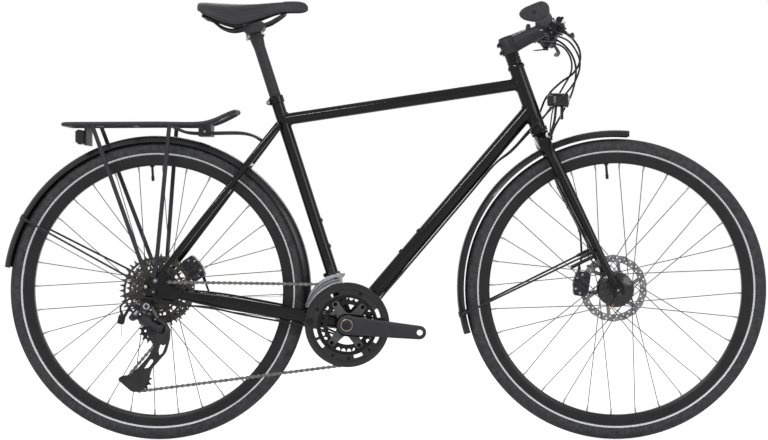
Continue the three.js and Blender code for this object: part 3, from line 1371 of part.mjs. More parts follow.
place(bicycle, 'head_tube', headTube().rotate([0, -headTiltDeg, 0]).translate(steerFoot.toArray()), 'gloss');
place(bicycle, 'top_tube', topTube(), 'gloss');
place(bicycle, 'down_tube', downTube(), 'gloss');
place(bicycle, 'seat_tube', seatTube(), 'gloss');
place(bicycle, 'bottom_bracket_shell', bracketShell(), 'gloss');
place(bicycle, 'chainstays', chainstays(), 'gloss');
place(bicycle, 'seatstays', seatstays(), 'gloss');
place(bicycle, 'seatpost', seatpost(), 'satin');
place(bicycle, 'saddle_rails', saddleRails(), 'satin');
place(bicycle, 'saddle_shell', saddleShell(), 'plastic');
place(bicycle, 'saddle_cover', saddleCover(), 'rubber');
place(bicycle, 'rear_rack', rack(), 'satin');
place(bicycle, 'rear_light', rearLight(), 'plastic');
place(bicycle, 'rear_mudguard', channel(rearGuardCentre, rearGuardRadius, rearGuardStartDeg, rearGuardEndDeg, 21), 'plastic');
place(bicycle, 'rear_mudguard_stays', stays(rearGuardCentre, rearGuardRadius, 151.3, V(mudguardEyeX, 79.3, mudguardEyeZ), 0.08), 'satin');
place(bicycle, 'rear_brake_caliper', caliper(77, 403, rearRotorY, 0), 'satin');
place(bicycle, 'front_derailleur_body', frontDerailleurBody(), 'steel');
place(bicycle, 'front_derailleur_cage', frontDerailleurCage(), 'alloy');
place(bicycle, 'rear_derailleur_mount', derailleurMount(), 'satin');
place(bicycle, 'derailleur_link', derailleurLink(), 'satin');
place(bicycle, 'derailleur_knuckle', derailleurKnuckle(), 'satin');
place(bicycle, 'derailleur_cage', derailleurCage(), 'satin');
place(bicycle, 'guide_pulley', pulley(guidePulleyX, guidePulleyZ), 'plastic');
place(bicycle, 'tension_pulley', pulley(tensionPulleyX, tensionPulleyZ), 'plastic');
place(bicycle, 'chain', chain(), 'steel');
place(bicycle, 'crank_right', crankRight(), 'satin');
place(bicycle, 'crank_left', crankLeft(), 'satin');
place(bicycle, 'chainrings', chainrings(), 'steel');
place(bicycle, 'chain_guard', chainGuard(), 'plastic');
place(rearWheel, 'rear_axle', axle(rearHubWidth, 6), 'steel');
place(rearWheel, 'rear_hub', rearHub(), 'steel');
place(rearWheel, 'rear_rim', join(rim(), valve(rearValveAngle)), 'plastic');
place(rearWheel, 'rear_tyre', tyre(), 'rubber');
place(rearWheel, 'rear_rotor', rotor(rearRotorY), 'steel');
place(rearWheel, 'cassette', cassette(), 'steel');
place(frontWheel, 'front_axle', axle(frontHubWidth, 6), 'steel');
place(frontWheel, 'front_hub', frontHub(), 'plastic');
place(frontWheel, 'front_rim', join(rim(), valve(frontValveAngle)), 'plastic');
place(frontWheel, 'front_tyre', tyre(), 'rubber');
place(frontWheel, 'front_rotor', rotor(frontRotorY), 'steel');
place(bicycle, 'fork', fork(), 'gloss');
place(frontEnd, 'stem', stem(), 'satin');
place(bicycle, 'handlebar', handlebar(), 'satin');
for (const [side, name] of [[1, 'left'], [-1, 'right']]) {
  place(bicycle, `grip_${name}`, grip(side), 'rubber');
  place(bicycle, `control_${name}`, control(side), 'satin');
  place(bicycle, `brake_lever_${name}`, brakeLever(side), 'satin');
  place(bicycle, `shift_lever_${name}`, shiftLever(side), 'plastic');
}
place(bicycle, 'front_mudguard', channel(frontGuardCentre, frontGuardRadius, frontGuardStartDeg, frontGuardEndDeg,
  frontGuardStations), 'plastic');
place(bicycle, 'front_mudguard_stays', stays(frontGuardCentre, frontGuardRadius, 189.6,
  steerPoint(stayEyeX, stayEyeY, stayEyeZ), 0.1), 'satin');
place(bicycle, 'front_brake_caliper', caliper(1001, 364, frontRotorY, wheelbase), 'satin');
place(bicycle, 'headlight', headlight(), 'plastic');
place(bicycle, 'headlight_lens', headlightLens(), 'lens');
place(bicycle, 'front_brake_hose', frontBrakeHose(), 'rubber');
place(bicycle, 'rear_brake_hose', rearBrakeHose(), 'rubber');
place(bicycle, 'shift_cables', shiftCables(), 'rubber');
place(bicycle, 'headlight_cable', headlightCable(), 'rubber');

export default bicycle;
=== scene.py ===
"""Touring bicycle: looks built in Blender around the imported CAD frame. Sizes are in millimetres in the
bicycle's own coordinates (rear axle at x 0), and every piece is shifted into the frame at the end."""
import json
import math

import bmesh
import bpy
from mathutils import Matrix, Vector

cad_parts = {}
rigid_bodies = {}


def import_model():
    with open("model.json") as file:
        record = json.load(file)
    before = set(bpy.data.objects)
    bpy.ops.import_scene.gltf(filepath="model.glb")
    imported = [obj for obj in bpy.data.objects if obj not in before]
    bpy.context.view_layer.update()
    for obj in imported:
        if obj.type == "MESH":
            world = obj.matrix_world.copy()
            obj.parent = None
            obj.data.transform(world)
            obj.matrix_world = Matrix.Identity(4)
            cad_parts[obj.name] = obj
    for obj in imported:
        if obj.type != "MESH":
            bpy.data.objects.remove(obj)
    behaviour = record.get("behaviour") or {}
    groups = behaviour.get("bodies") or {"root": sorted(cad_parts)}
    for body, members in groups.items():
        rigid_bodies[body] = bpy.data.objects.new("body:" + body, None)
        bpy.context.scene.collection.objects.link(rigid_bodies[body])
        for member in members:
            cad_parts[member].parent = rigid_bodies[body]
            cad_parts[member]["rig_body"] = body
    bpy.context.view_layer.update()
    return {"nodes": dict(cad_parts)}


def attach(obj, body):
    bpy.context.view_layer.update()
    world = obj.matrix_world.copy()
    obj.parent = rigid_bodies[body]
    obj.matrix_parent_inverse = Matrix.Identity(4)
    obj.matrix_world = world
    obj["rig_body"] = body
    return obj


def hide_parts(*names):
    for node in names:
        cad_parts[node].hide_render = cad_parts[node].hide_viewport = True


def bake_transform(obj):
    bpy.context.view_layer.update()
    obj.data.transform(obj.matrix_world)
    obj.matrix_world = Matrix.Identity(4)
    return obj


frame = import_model()
nodes = frame["nodes"]

# Sizes shared with the CAD source
MM = 0.001
WHEELBASE = 1077.5
WHEEL_R = 353.0
HEAD_TILT = math.radians(19.5)
SEAT_TILT = math.radians(17.6)
DOWN_ANGLE = math.radians(49.4)
TOP_SLOPE = math.radians(8.3)
CRANK_DROP = math.radians(5.6)
BAR_SWEEP = math.radians(9.6)
LEVER_TILT = math.radians(32)
SHIFT = (366 * math.cos(math.radians(9)) + 4 - WHEELBASE - WHEEL_R) / 2
BRACKET = Vector((449, 0, 274))
REAR = Vector((0, 0, WHEEL_R))
FRONT = Vector((WHEELBASE, 0, WHEEL_R))
SEAT_DIR = Vector((-math.sin(SEAT_TILT), 0, math.cos(SEAT_TILT)))
HEAD_DIR = Vector((-math.sin(HEAD_TILT), 0, math.cos(HEAD_TILT)))
HEAD_FWD = Vector((math.cos(HEAD_TILT), 0, math.sin(HEAD_TILT)))
DOWN_DIR = Vector((math.cos(DOWN_ANGLE), 0, math.sin(DOWN_ANGLE)))
TOP_DIR = Vector((math.cos(TOP_SLOPE), 0, math.sin(TOP_SLOPE)))
FOOT = FRONT - 43 * HEAD_FWD
BAR = FOOT + 103 * HEAD_FWD + 632 * HEAD_DIR
Y_AXIS = Vector((0, 1, 0))
Z_AXIS = Vector((0, 0, 1))
CHAIN_PITCH = 12.7
CRANK_LENGTH = 170
REAR_GUARD = REAR - Vector((4, 0, 0))
REAR_GUARD_R = 366
FRONT_GUARD = FRONT + Vector((-1, 0, 3))
FRONT_GUARD_R = 371
GUARD_BOLT_R = 372.8
REAR_ROTOR_Y = 52.2
FRONT_ROTOR_Y = 39.5
GUIDE_PIVOT = Vector((-7.6, 0, 261))
TENSION_PIVOT = Vector((-36, 0, 147))
SPROCKET_Y = -61.5
SPOKES_A_SIDE = 16
SPOKES_CROSSED = 3
REAR_SPOKE_PHASE = 0.158
FRONT_SPOKE_PHASE = 0.16
TOP_TUBE_R = 14.35
DOWN_TUBE_R = 17.05
SEAT_TUBE_R = 14.65
SHELL_R = 20.1
COAT_ROUGHNESS = 0.06
SIDES = ((1, "left"), (-1, "right"))


def seat_point(along):
    return BRACKET + SEAT_DIR * along


def down_point(along):
    return BRACKET + DOWN_DIR * along


def steer(x, y, z):
    return FOOT + HEAD_FWD * x + HEAD_DIR * z + Y_AXIS * y


def polar(radius, angle):
    return radius * math.cos(angle), radius * math.sin(angle)


def circle(count, radius, x=0.0, z=0.0):
    """Points evenly round a circle, as (x, z) pairs."""
    turns = [k * math.tau / count for k in range(count)]
    return [(x + radius * math.cos(turn), z + radius * math.sin(turn)) for turn in turns]


def boxy(count, wide_power, tall_power):
    """A unit section between a circle and a square, as pairs."""
    return [(math.copysign(abs(c) ** wide_power, c), math.copysign(abs(s) ** tall_power, s))
            for c, s in circle(count, 1)]


def around(centre, radius, angle, y=0.0):
    """The point at an angle round an axle, y to its left."""
    x, z = polar(radius, angle)
    return centre + Vector((x, y, z))


def mirrored(side, rows):
    """Points that are given for the left, on the left or the right side."""
    return [Vector((x, side * y, z)) for x, y, z in rows]


def bar_spot(side, x, y, z, tilt=0.0):
    p = Matrix.Rotation(tilt, 3, "Y") @ Vector((x, y * side, z))
    return Matrix.Rotation(side * BAR_SWEEP, 3, "Z") @ p + BAR + Y_AXIS * side * 40


# Materials: each is a small node tree of noise, colour steps and bump
def new_node(tree, kind, values, source=None, socket="Vector"):
    """A shader node with its inputs set, linked from the source where there is one."""
    made = tree.nodes.new("ShaderNode" + kind)
    for name, value in values.items():
        made.inputs[name].default_value = value
    if source:
        tree.links.new(source, made.inputs[socket])
    return made


def add_bump(tree, height, strength, distance):
    rise = new_node(tree, "Bump", {"Strength": strength, "Distance": distance}, height, "Height")
    tree.links.new(rise.outputs["Normal"], tree.nodes["Principled BSDF"].inputs["Normal"])


def material(name, colour, rough, metal=0.0, coat=0.0, grain=60.0, vary=0.12, rough_vary=0.08,
             bump=0.05, bump_scale=400.0, spec=0.5, transmission=0.0, emission=0.0, sheen=0.0):
    made = bpy.data.materials.new(name)
    made.use_nodes = True
    tree = made.node_tree
    shader = tree.nodes["Principled BSDF"]
    values = {"Metallic": metal, "Coat Weight": coat, "Coat Roughness": COAT_ROUGHNESS,
              "Specular IOR Level": spec, "Transmission Weight": transmission, "Sheen Weight": sheen}
    for socket, value in values.items():
        shader.inputs[socket].default_value = value
    source = tree.nodes.new("ShaderNodeTexCoord").outputs["Object"]
    noise = new_node(tree, "TexNoise", {"Scale": grain, "Detail": 4}, source)
    ramp = new_node(tree, "ValToRGB", {}, noise.outputs["Fac"], "Fac")
    low = [max(0.0, c * (1 - vary)) for c in colour]
    high = [min(1.0, c * (1 + vary) + vary * 0.01) for c in colour]
    for step, position, shade in zip(ramp.color_ramp.elements, (0.3, 0.7), (low, high)):
        step.position = position
        step.color = (*shade, 1)
    tree.links.new(ramp.outputs["Color"], shader.inputs["Base Color"])
    limits = {"To Min": max(0.02, rough - rough_vary), "To Max": min(1.0, rough + rough_vary)}
    spread = new_node(tree, "MapRange", limits, noise.outputs["Fac"], "Value")
    tree.links.new(spread.outputs["Result"], shader.inputs["Roughness"])
    if bump:
        fine = new_node(tree, "TexNoise", {"Scale": bump_scale, "Detail": 3}, source)
        add_bump(tree, fine.outputs["Fac"], bump, 0.0006)
    if emission:
        shader.inputs["Emission Color"].default_value = (*colour, 1)
        shader.inputs["Emission Strength"].default_value = emission
    return made


def leather(name, colour):
    """Fine cells raised from a soft sheen."""
    made = material(name, colour, 0.55, grain=180, vary=0.18, bump=0.0, spec=0.25, sheen=0.05)
    tree = made.node_tree
    coords = tree.nodes.new("ShaderNodeTexCoord")
    cells = new_node(tree, "TexVoronoi", {"Scale": 750}, coords.outputs["Object"])
    cells.feature = "DISTANCE_TO_EDGE"
    add_bump(tree, cells.outputs["Distance"], 0.35, 0.0004)
    return made


PAINT = material("gloss_paint", (0.004, 0.004, 0.0045), 0.11, coat=0.14, grain=9, vary=0.1,
                 rough_vary=0.04, bump=0.03, bump_scale=900, spec=0.12)
SATIN = material("satin_alloy", (0.024, 0.024, 0.027), 0.44, grain=35, bump=0.08, bump_scale=1500,
                 spec=0.16)
ALLOY = material("silver_alloy", (0.26, 0.26, 0.29), 0.34, metal=0.9, grain=80, bump=0.06)
STEEL = material("machined_steel", (0.36, 0.36, 0.37), 0.3, metal=1.0, grain=120, vary=0.2, bump=0.05)
STEEL_DARK = material("black_rod", (0.012, 0.012, 0.013), 0.34, grain=60, bump=0.04, spec=0.2)
CHAIN_STEEL = material("chain_steel", (0.13, 0.127, 0.122), 0.38, metal=0.85, grain=260, vary=0.5,
                       rough_vary=0.15, bump=0.05)
DARK_STEEL = material("sprocket_steel", (0.043, 0.0415, 0.039), 0.4, metal=0.6, grain=160, vary=0.5,
                      rough_vary=0.12, bump=0.06, spec=0.3)
ROTOR_STEEL = material("rotor_steel", (0.2, 0.2, 0.207), 0.34, metal=1.0, grain=25, vary=0.25,
                       bump=0.12, bump_scale=260)
PLASTIC = material("moulded_plastic", (0.012, 0.012, 0.0135), 0.4, grain=50, bump=0.1, bump_scale=1800,
                   spec=0.2)
GUARD = material("mudguard_plastic", (0.011, 0.011, 0.0125), 0.28, grain=14, vary=0.15, bump=0.05,
                 bump_scale=1100, coat=0.1, spec=0.18)
GLOSS = material("gloss_plastic", (0.008, 0.008, 0.009), 0.16, coat=0.25, grain=30, bump=0.03, spec=0.2)
TYRE = material("tyre_rubber", (0.036, 0.036, 0.038), 0.84, grain=90, vary=0.3, rough_vary=0.1,
                bump=0.35, bump_scale=900, spec=0.12)
STRIPE = material("reflective_band", (0.5, 0.5, 0.51), 0.5, metal=0.1, grain=500, vary=0.25,
                  bump=0.2, bump_scale=2200)
GRIP = material("grip_rubber", (0.03, 0.03, 0.032), 0.75, grain=120, vary=0.25, bump=0.4,
                bump_scale=1400, spec=0.2)
CABLE = material("cable_housing", (0.008, 0.008, 0.0085), 0.38, grain=90, bump=0.06, spec=0.2)
RIM = material("anodised_rim", (0.01, 0.01, 0.011), 0.34, grain=30, bump=0.05, bump_scale=1200, spec=0.2)
HUB = material("gloss_hub", (0.008, 0.008, 0.009), 0.2, coat=0.25, grain=30, bump=0.03, spec=0.25)
SPOKE = material("spoke_steel", (0.07, 0.07, 0.075), 0.34, metal=0.85, grain=200, bump=0.0)
BRASS = material("bronze_ring", (0.25, 0.215, 0.17), 0.34, metal=0.9, grain=90, bump=0.05)
RING_STEEL = material("ring_steel", (0.012, 0.0118, 0.0112), 0.32, metal=0.4, grain=140, vary=0.3,
                      bump=0.06,
                      spec=0.2)
SPIDER = material("spider_alloy", (0.048, 0.048, 0.05), 0.4, grain=35, vary=0.3, bump=0.08, bump_scale=1500,
                  spec=0.2)
# near-black painted shadow for dark gaps; also used on the chainring and chain guard bolt heads
GAP = material("shadow_gap", (0.0015, 0.0015, 0.0016), 0.7, grain=80, spec=0.05)
COPPER = material("copper_wire", (0.5, 0.2, 0.08), 0.35, metal=0.9, grain=300, bump=0.05)
SADDLE = leather("saddle_skin", (0.017, 0.017, 0.019))
THREAD = material("stitching", (0.05, 0.05, 0.054), 0.8, grain=900, bump=0.3, bump_scale=3000, spec=0.2)
RED = material("red_lens", (0.42, 0.012, 0.012), 0.12, coat=0.8, grain=50, vary=0.2, bump=0.25,
               bump_scale=260, emission=0.05)
CLEAR = material("clear_lens", (0.85, 0.88, 0.9), 0.05, transmission=0.85, grain=20, vary=0.05,
                 bump=0.1, bump_scale=120)


# Mesh helpers
def placed(name, data):
    """An object in the scene that holds this data."""
    obj = bpy.data.objects.new(name, data)
    bpy.context.scene.collection.objects.link(obj)
    return obj


def evaluated(obj):
    """The mesh of an object with its curve or modifiers worked out. The object itself is removed."""
    bpy.context.view_layer.update()
    made = bpy.data.meshes.new_from_object(obj.evaluated_get(bpy.context.evaluated_depsgraph_get()))
    bpy.data.objects.remove(obj)
    return made


def outward(mesh, merge=0.0):
    """Turns all faces outward, after merging points that lie closer than merge."""
    work = bmesh.new()
    work.from_mesh(mesh)
    if merge:
        bmesh.ops.remove_doubles(work, verts=work.verts, dist=merge)
    bmesh.ops.recalc_face_normals(work, faces=work.faces)
    work.to_mesh(mesh)
    work.free()
    return mesh


def piece(name, mesh, body, look, stands_for=None, bevel=0.0, smooth=38):
    obj = placed(name, mesh)
    for one in look if isinstance(look, list) else [look]:
        mesh.materials.append(one)
    mesh.transform(Matrix.Translation((SHIFT, 0, 0)))
    mesh.transform(Matrix.Scale(MM, 4))
    mesh.shade_smooth()
    mesh.set_sharp_from_angle(angle=math.radians(smooth))
    if bevel:
        rounded = obj.modifiers.new("edges", "BEVEL")
        rounded.width = bevel * MM
        rounded.segments = 2
        rounded.limit_method = "ANGLE"
        rounded.angle_limit = math.radians(32)
        rounded.harden_normals = True
    if body:
        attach(obj, body)
    if stands_for:
        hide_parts(stands_for)
    return obj


def dress(node, mesh, look, bevel=0.0, smooth=38):
    """A piece that is drawn in the place of a CAD node and rides on the same body."""
    return piece("look_" + node, mesh, nodes[node]["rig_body"], look, node, bevel, smooth)


class Shape:
    """Closed shells gathered into one mesh, each with a material index."""

    def __init__(self):
        self.verts = []
        self.faces = []
        self.marks = []

    def add(self, verts, faces, mark=0):
        base = len(self.verts)
        self.verts += [tuple(v) for v in verts]
        self.faces += [tuple(base + i for i in f) for f in faces]
        self.marks += [mark] * len(faces) if isinstance(mark, int) else list(mark)
        return self

    def rings(self, rings, closed=False, mark=0):
        count = len(rings[0])
        verts = [v for ring in rings for v in ring]
        faces = []
        spans = len(rings) if closed else len(rings) - 1
        for i in range(spans):
            far = (i + 1) % len(rings)
            for j in range(count):
                k = (j + 1) % count
                faces.append((i * count + j, i * count + k, far * count + k, far * count + j))
        if not closed:
            faces.append(tuple(reversed(range(count))))
            faces.append(tuple((len(rings) - 1) * count + j for j in range(count)))
        return self.add(verts, faces, mark)

    def tube(self, points, radii, sides=16, side=Y_AXIS, mark=0):
        """A tube along points. A radius is a number, or a pair of half width and half height."""
        points = [Vector(p) for p in points]
        rings = []
        last = len(points) - 1
        for i, p in enumerate(points):
            tangent = (points[min(i + 1, last)] - points[max(i - 1, 0)]).normalized()
            lateral = (side - tangent * side.dot(tangent)).normalized()
            upright = tangent.cross(lateral)
            radius = radii[i] if isinstance(radii, (list, tuple)) else radii
            wide, high = radius if isinstance(radius, (list, tuple)) else (radius, radius)
            rings.append([p + lateral * wide * math.cos((k + 0.5) * math.tau / sides)
                          + upright * high * math.sin((k + 0.5) * math.tau / sides)
                          for k in range(sides)])
        return self.rings(rings, False, mark)

    def rod(self, a, b, radius, sides=16, mark=0):
        a, b = Vector(a), Vector(b)
        side = Z_AXIS if abs((b - a).normalized().y) > 0.8 else Y_AXIS
        return self.tube([a, b], radius, sides, side, mark)

    def lathe(self, profile, centre, segments=64, mark=0):
        """A closed profile of (radius, along) turned about Y through the centre."""
        rings = [[centre + Vector((x * r, y, z * r)) for r, y in profile] for x, z in circle(segments, 1)]
        return self.rings(rings, True, mark)

    def drum(self, centre, radius, y0, y1, segments=32, mark=0, soft=0.6):
        """A cylinder along Y with softened edges. y0 and y1 are added to the centre's own y."""
        steps = [(radius - soft, y0), (radius, y0 + soft), (radius, y1 - soft), (radius - soft, y1)]
        rings = [[centre + Vector((x, y, z)) for x, z in circle(segments, r)] for r, y in steps]
        return self.rings(rings, False, mark)

    def box(self, x0, x1, y0, y1, z0, z1, mark=0):
        ring = [(x0, z0), (x1, z0), (x1, z1), (x0, z1)]
        return self.rings([[Vector((x, y, z)) for x, z in ring] for y in (y0, y1)], False, mark)

    def bolt(self, foot, direction, radius=2.6, height=3.0, mark=0):
        """A domed cap screw with a hexagon socket."""
        foot, direction = Vector(foot), Vector(direction).normalized()
        side = Z_AXIS if abs(direction.y) > 0.8 else Y_AXIS
        lateral = (side - direction * side.dot(direction)).normalized()
        upright = direction.cross(lateral)

        def ring(r, along, hexagon=False):
            points = []
            for k in range(24):
                a = k * math.tau / 24
                reach = r / math.cos((a % (math.tau / 6)) - math.tau / 12) if hexagon else r
                points.append(foot + direction * along + lateral * reach * math.cos(a)
                              + upright * reach * math.sin(a))
            return points
        rings = [ring(radius, -0.5), ring(radius, height * 0.6), ring(radius * 0.86, height),
                 ring(radius * 0.5, height, True), ring(radius * 0.48, height * 0.4, True)]
        return self.rings(rings, False, mark)

    def mesh(self, name):
        made = bpy.data.meshes.new(name)
        made.from_pydata([tuple(v) for v in self.verts], [], self.faces)
        made.update()
        for polygon, mark in zip(made.polygons, self.marks):
            polygon.material_index = mark
        return outward(made)


def moved(loop, centre):
    """An outline of (x, z) pairs with its origin at the centre."""
    return [(centre.x + x, centre.z + z) for x, z in loop]


def plate_mesh(name, loops, y0, y1, soft=0.25, resolution=1):
    """A flat plate in the X-Z plane: the first loop is the outline and the others are holes."""
    curve = bpy.data.curves.new(name, "CURVE")
    curve.dimensions = "2D"
    curve.fill_mode = "BOTH"
    curve.extrude = abs(y1 - y0) / 2 - soft
    curve.bevel_depth = soft
    curve.bevel_resolution = resolution
    curve.offset = -soft
    for loop in loops:
        spline = curve.splines.new("POLY")
        spline.points.add(len(loop) - 1)
        for point, (x, z) in zip(spline.points, loop):
            point.co = (x, z, 0, 1)
        spline.use_cyclic_u = True
    made = evaluated(placed(name, curve))
    made.transform(Matrix(((1, 0, 0, 0), (0, 0, 1, (y0 + y1) / 2), (0, 1, 0, 0), (0, 0, 0, 1))))
    made.name = name
    return outward(made, 0.01)


def joined(name, meshes):
    """Several meshes as one, each keeping its own material indices."""
    whole = bmesh.new()
    for one in meshes:
        whole.from_mesh(one)
    made = bpy.data.meshes.new(name)
    whole.to_mesh(made)
    whole.free()
    return made


def refined(node, look, bevel, angle):
    """A CAD node's shape with its flats merged and its edges rounded."""
    tidy = bmesh.new()
    tidy.from_mesh(nodes[node].data)
    bmesh.ops.remove_doubles(tidy, verts=tidy.verts, dist=1e-6)
    bmesh.ops.dissolve_limit(tidy, angle_limit=math.radians(angle), verts=tidy.verts, edges=tidy.edges)
    made = bpy.data.meshes.new("look_" + node)
    tidy.to_mesh(made)
    tidy.free()
    made.transform(Matrix.Scale(1 / MM, 4))
    made.transform(Matrix.Translation((-SHIFT, 0, 0)))
    for polygon in made.polygons:
        polygon.material_index = 0
    return dress(node, made, look, bevel)


def smooth_path(points, steps):
    """Centripetal Catmull-Rom curve through the points, evenly spaced."""
    pts = [Vector(p) for p in points]
    pts = [pts[0] * 2 - pts[1]] + pts + [pts[-1] * 2 - pts[-2]]
    fine = []
    for i in range(1, len(pts) - 2):
        p0, p1, p2, p3 = pts[i - 1:i + 3]
        t0 = 0.0
        t1 = t0 + max((p1 - p0).length, 1e-6) ** 0.5
        t2 = t1 + max((p2 - p1).length, 1e-6) ** 0.5
        t3 = t2 + max((p3 - p2).length, 1e-6) ** 0.5
        for k in range(24):
            t = t1 + (t2 - t1) * k / 24
            a1 = p0 * ((t1 - t) / (t1 - t0)) + p1 * ((t - t0) / (t1 - t0))
            a2 = p1 * ((t2 - t) / (t2 - t1)) + p2 * ((t - t1) / (t2 - t1))
            a3 = p2 * ((t3 - t) / (t3 - t2)) + p3 * ((t - t2) / (t3 - t2))
            b1 = a1 * ((t2 - t) / (t2 - t0)) + a2 * ((t - t0) / (t2 - t0))
            b2 = a2 * ((t3 - t) / (t3 - t1)) + a3 * ((t - t1) / (t3 - t1))
            fine.append(b1 * ((t2 - t) / (t2 - t1)) + b2 * ((t - t1) / (t2 - t1)))
    fine.append(pts[-2])
    lengths = [0.0]
    for a, b in zip(fine, fine[1:]):
        lengths.append(lengths[-1] + (b - a).length)
    even = []
    k = 0
    for i in range(steps + 1):
        want = lengths[-1] * i / steps
        while k < len(lengths) - 2 and lengths[k + 1] < want:
            k += 1
        span = max(lengths[k + 1] - lengths[k], 1e-9)
        even.append(fine[k].lerp(fine[k + 1], (want - lengths[k]) / span))
    return even


# Stage, light and camera come first
def background_rays(tree):
    """1 where a camera, mirror or glass ray looks, so that they see the pale background."""
    path = tree.nodes.new("ShaderNodeLightPath")
    value = path.outputs["Is Camera Ray"]
    for name in ("Is Glossy Ray", "Is Transmission Ray"):
        most = tree.nodes.new("ShaderNodeMath")
        most.operation = "MAXIMUM"
        tree.links.new(value, most.inputs[0])
        tree.links.new(path.outputs[name], most.inputs[1])
        value = most.outputs["Value"]
    return value


def stage():
    world = bpy.data.worlds.new("plain_light")
    bpy.context.scene.world = world
    world.use_nodes = True
    tree = world.node_tree
    ground = tree.nodes["Background"]
    ground.inputs["Color"].default_value = (1, 1, 1, 1)
    ground.inputs["Strength"].default_value = 0.55
    seen = new_node(tree, "Background", {"Color": (1, 1, 1, 1), "Strength": 1.0})
    mix = tree.nodes.new("ShaderNodeMixShader")
    output = tree.nodes["World Output"]
    tree.links.new(background_rays(tree), mix.inputs["Fac"])
    tree.links.new(ground.outputs["Background"], mix.inputs[1])
    tree.links.new(seen.outputs["Background"], mix.inputs[2])
    tree.links.new(mix.outputs["Shader"], output.inputs["Surface"])

    floor_mesh = bpy.data.meshes.new("floor")
    reach = 9.0
    corners = [(x * reach, y * reach, -0.0005) for x, y in ((-1, -1), (1, -1), (1, 1), (-1, 1))]
    floor_mesh.from_pydata(corners, [], [(0, 1, 2, 3)])
    floor = placed("floor", floor_mesh)
    pale = bpy.data.materials.new("pale_floor")
    pale.use_nodes = True
    tree = pale.node_tree
    matte = tree.nodes["Principled BSDF"]
    matte.inputs["Base Color"].default_value = (0.93, 0.93, 0.93, 1)
    matte.inputs["Roughness"].default_value = 0.9
    matte.inputs["Specular IOR Level"].default_value = 0.0
    glow = new_node(tree, "Emission", {"Color": (1, 1, 1, 1), "Strength": 1.3})
    share = tree.nodes.new("ShaderNodeMath")
    share.operation = "MULTIPLY"
    share.inputs[1].default_value = 0.65
    mix = tree.nodes.new("ShaderNodeMixShader")
    tree.links.new(background_rays(tree), share.inputs[0])
    tree.links.new(share.outputs["Value"], mix.inputs["Fac"])
    tree.links.new(matte.outputs["BSDF"], mix.inputs[1])
    tree.links.new(glow.outputs["Emission"], mix.inputs[2])
    tree.links.new(mix.outputs["Shader"], tree.nodes["Material Output"].inputs["Surface"])
    floor_mesh.materials.append(pale)

    def lamp(name, spot, aim, size, power):
        data = bpy.data.lights.new(name, "AREA")
        data.shape = "RECTANGLE"
        data.size, data.size_y = size
        data.energy = power
        obj = placed(name, data)
        obj.location = spot
        obj.rotation_euler = (Vector(aim) - Vector(spot)).to_track_quat("-Z", "Y").to_euler()
    lamp("key", (-1.6, -2.6, 3.0), (0, 0, 0.5), (2.6, 0.15), 95)
    lamp("fill", (2.6, -2.2, 1.8), (0, 0, 0.6), (2.0, 1.6), 42)
    lamp("back", (0.4, 2.8, 2.6), (0, 0, 0.5), (3.0, 1.4), 60)

    yaw, pitch, roll = (math.radians(v) for v in (-1.583, -0.462, -0.237))
    ahead = Vector((math.sin(yaw) * math.cos(pitch), math.cos(yaw) * math.cos(pitch), math.sin(pitch)))
    right = Vector((math.cos(yaw), -math.sin(yaw), 0))
    up = right.cross(ahead)
    turned_right = right * math.cos(roll) + up * math.sin(roll)
    turned_up = up * math.cos(roll) - right * math.sin(roll)
    data = bpy.data.cameras.new("camera")
    data.sensor_width = 36
    data.lens = 36 * 1696.0 / 768
    data.clip_end = 60
    camera = placed("camera", data)
    spot = Vector((644.9 + SHIFT, -4000, 549.6)) * MM
    facing = Matrix((turned_right, turned_up, -ahead)).transposed().to_4x4()
    camera.matrix_world = Matrix.Translation(spot) @ facing
    bpy.context.scene.camera = camera
    bpy.context.scene.view_settings.view_transform = "Standard"


# Wheels
def tyre(node, centre):
    segments = 432
    section = [(312.2, 10.2), (318.4, 11.4), (320.9, 14.3), (324.5, 17.4), (330.5, 20.6), (336.0, 20.9),
               (341.0, 19.3), (345.6, 16.0), (349.2, 11.6), (351.6, 6.6), (352.8, 2.2)]
    profile = [(r, -y) for r, y in section] + [(r, y) for r, y in reversed(section)]
    count = len(profile)
    rings = []
    for i in range(segments):
        ring = []
        for j, (r, y) in enumerate(profile):
            # rows are counted from the bead; the tread's cuts lie in rows 7 to 9
            row = min(j, count - 1 - j)
            lower = 0.0
            if 7 <= row < 10 and (i + (3 if y > 0 else 0)) % 6 == 0:
                lower = 1.5
            if row == 9 and i % 6 in (2, 3):
                lower += 0.9
            ring.append(around(centre, r - lower, i * math.tau / segments, y))
        rings.append(ring)
    shape = Shape().rings(rings, True)
    # one row of faces on each side is the reflective band
    shape.marks = [1 if k % count in (2, count - 4) else 0 for k in range(len(shape.faces))]
    dress(node, shape.mesh(node), [TYRE, STRIPE], smooth=50)


def rim(node, centre, phase, valve_angle):
    half = [(295.4, -6.5), (297.5, -8.6), (304, -10.4), (316.6, -12.5), (318, -12.2), (318, -10.9),
            (312, -10.4), (311.5, -6)]
    profile = half + [(309.5, 0)] + [(r, -y) for r, y in reversed(half)] + [(295, 0)]
    shape = Shape().lathe(profile, centre, 160)
    step = math.tau / SPOKES_A_SIDE
    for side in (-1, 1):
        for k in range(SPOKES_A_SIDE):
            lean = SPOKES_CROSSED if k % 2 == 0 else -SPOKES_CROSSED
            angle = phase + (k + (0.5 if side > 0 else 0)) * step + lean * step
            foot = around(centre, 296.5, angle, side * 2.0)
            shape.rod(foot, around(centre, 282, angle, side * 2.3), [2.3, 1.7], 10, 1)
    valve = [around(centre, r, valve_angle) for r in (298, 292, 292, 270, 270, 259)]
    shape.tube(valve, [6, 5, 3, 3, 3.9, 3.4], 16, Y_AXIS, 2)
    dress(node, shape.mesh(node), [RIM, ALLOY, CABLE])


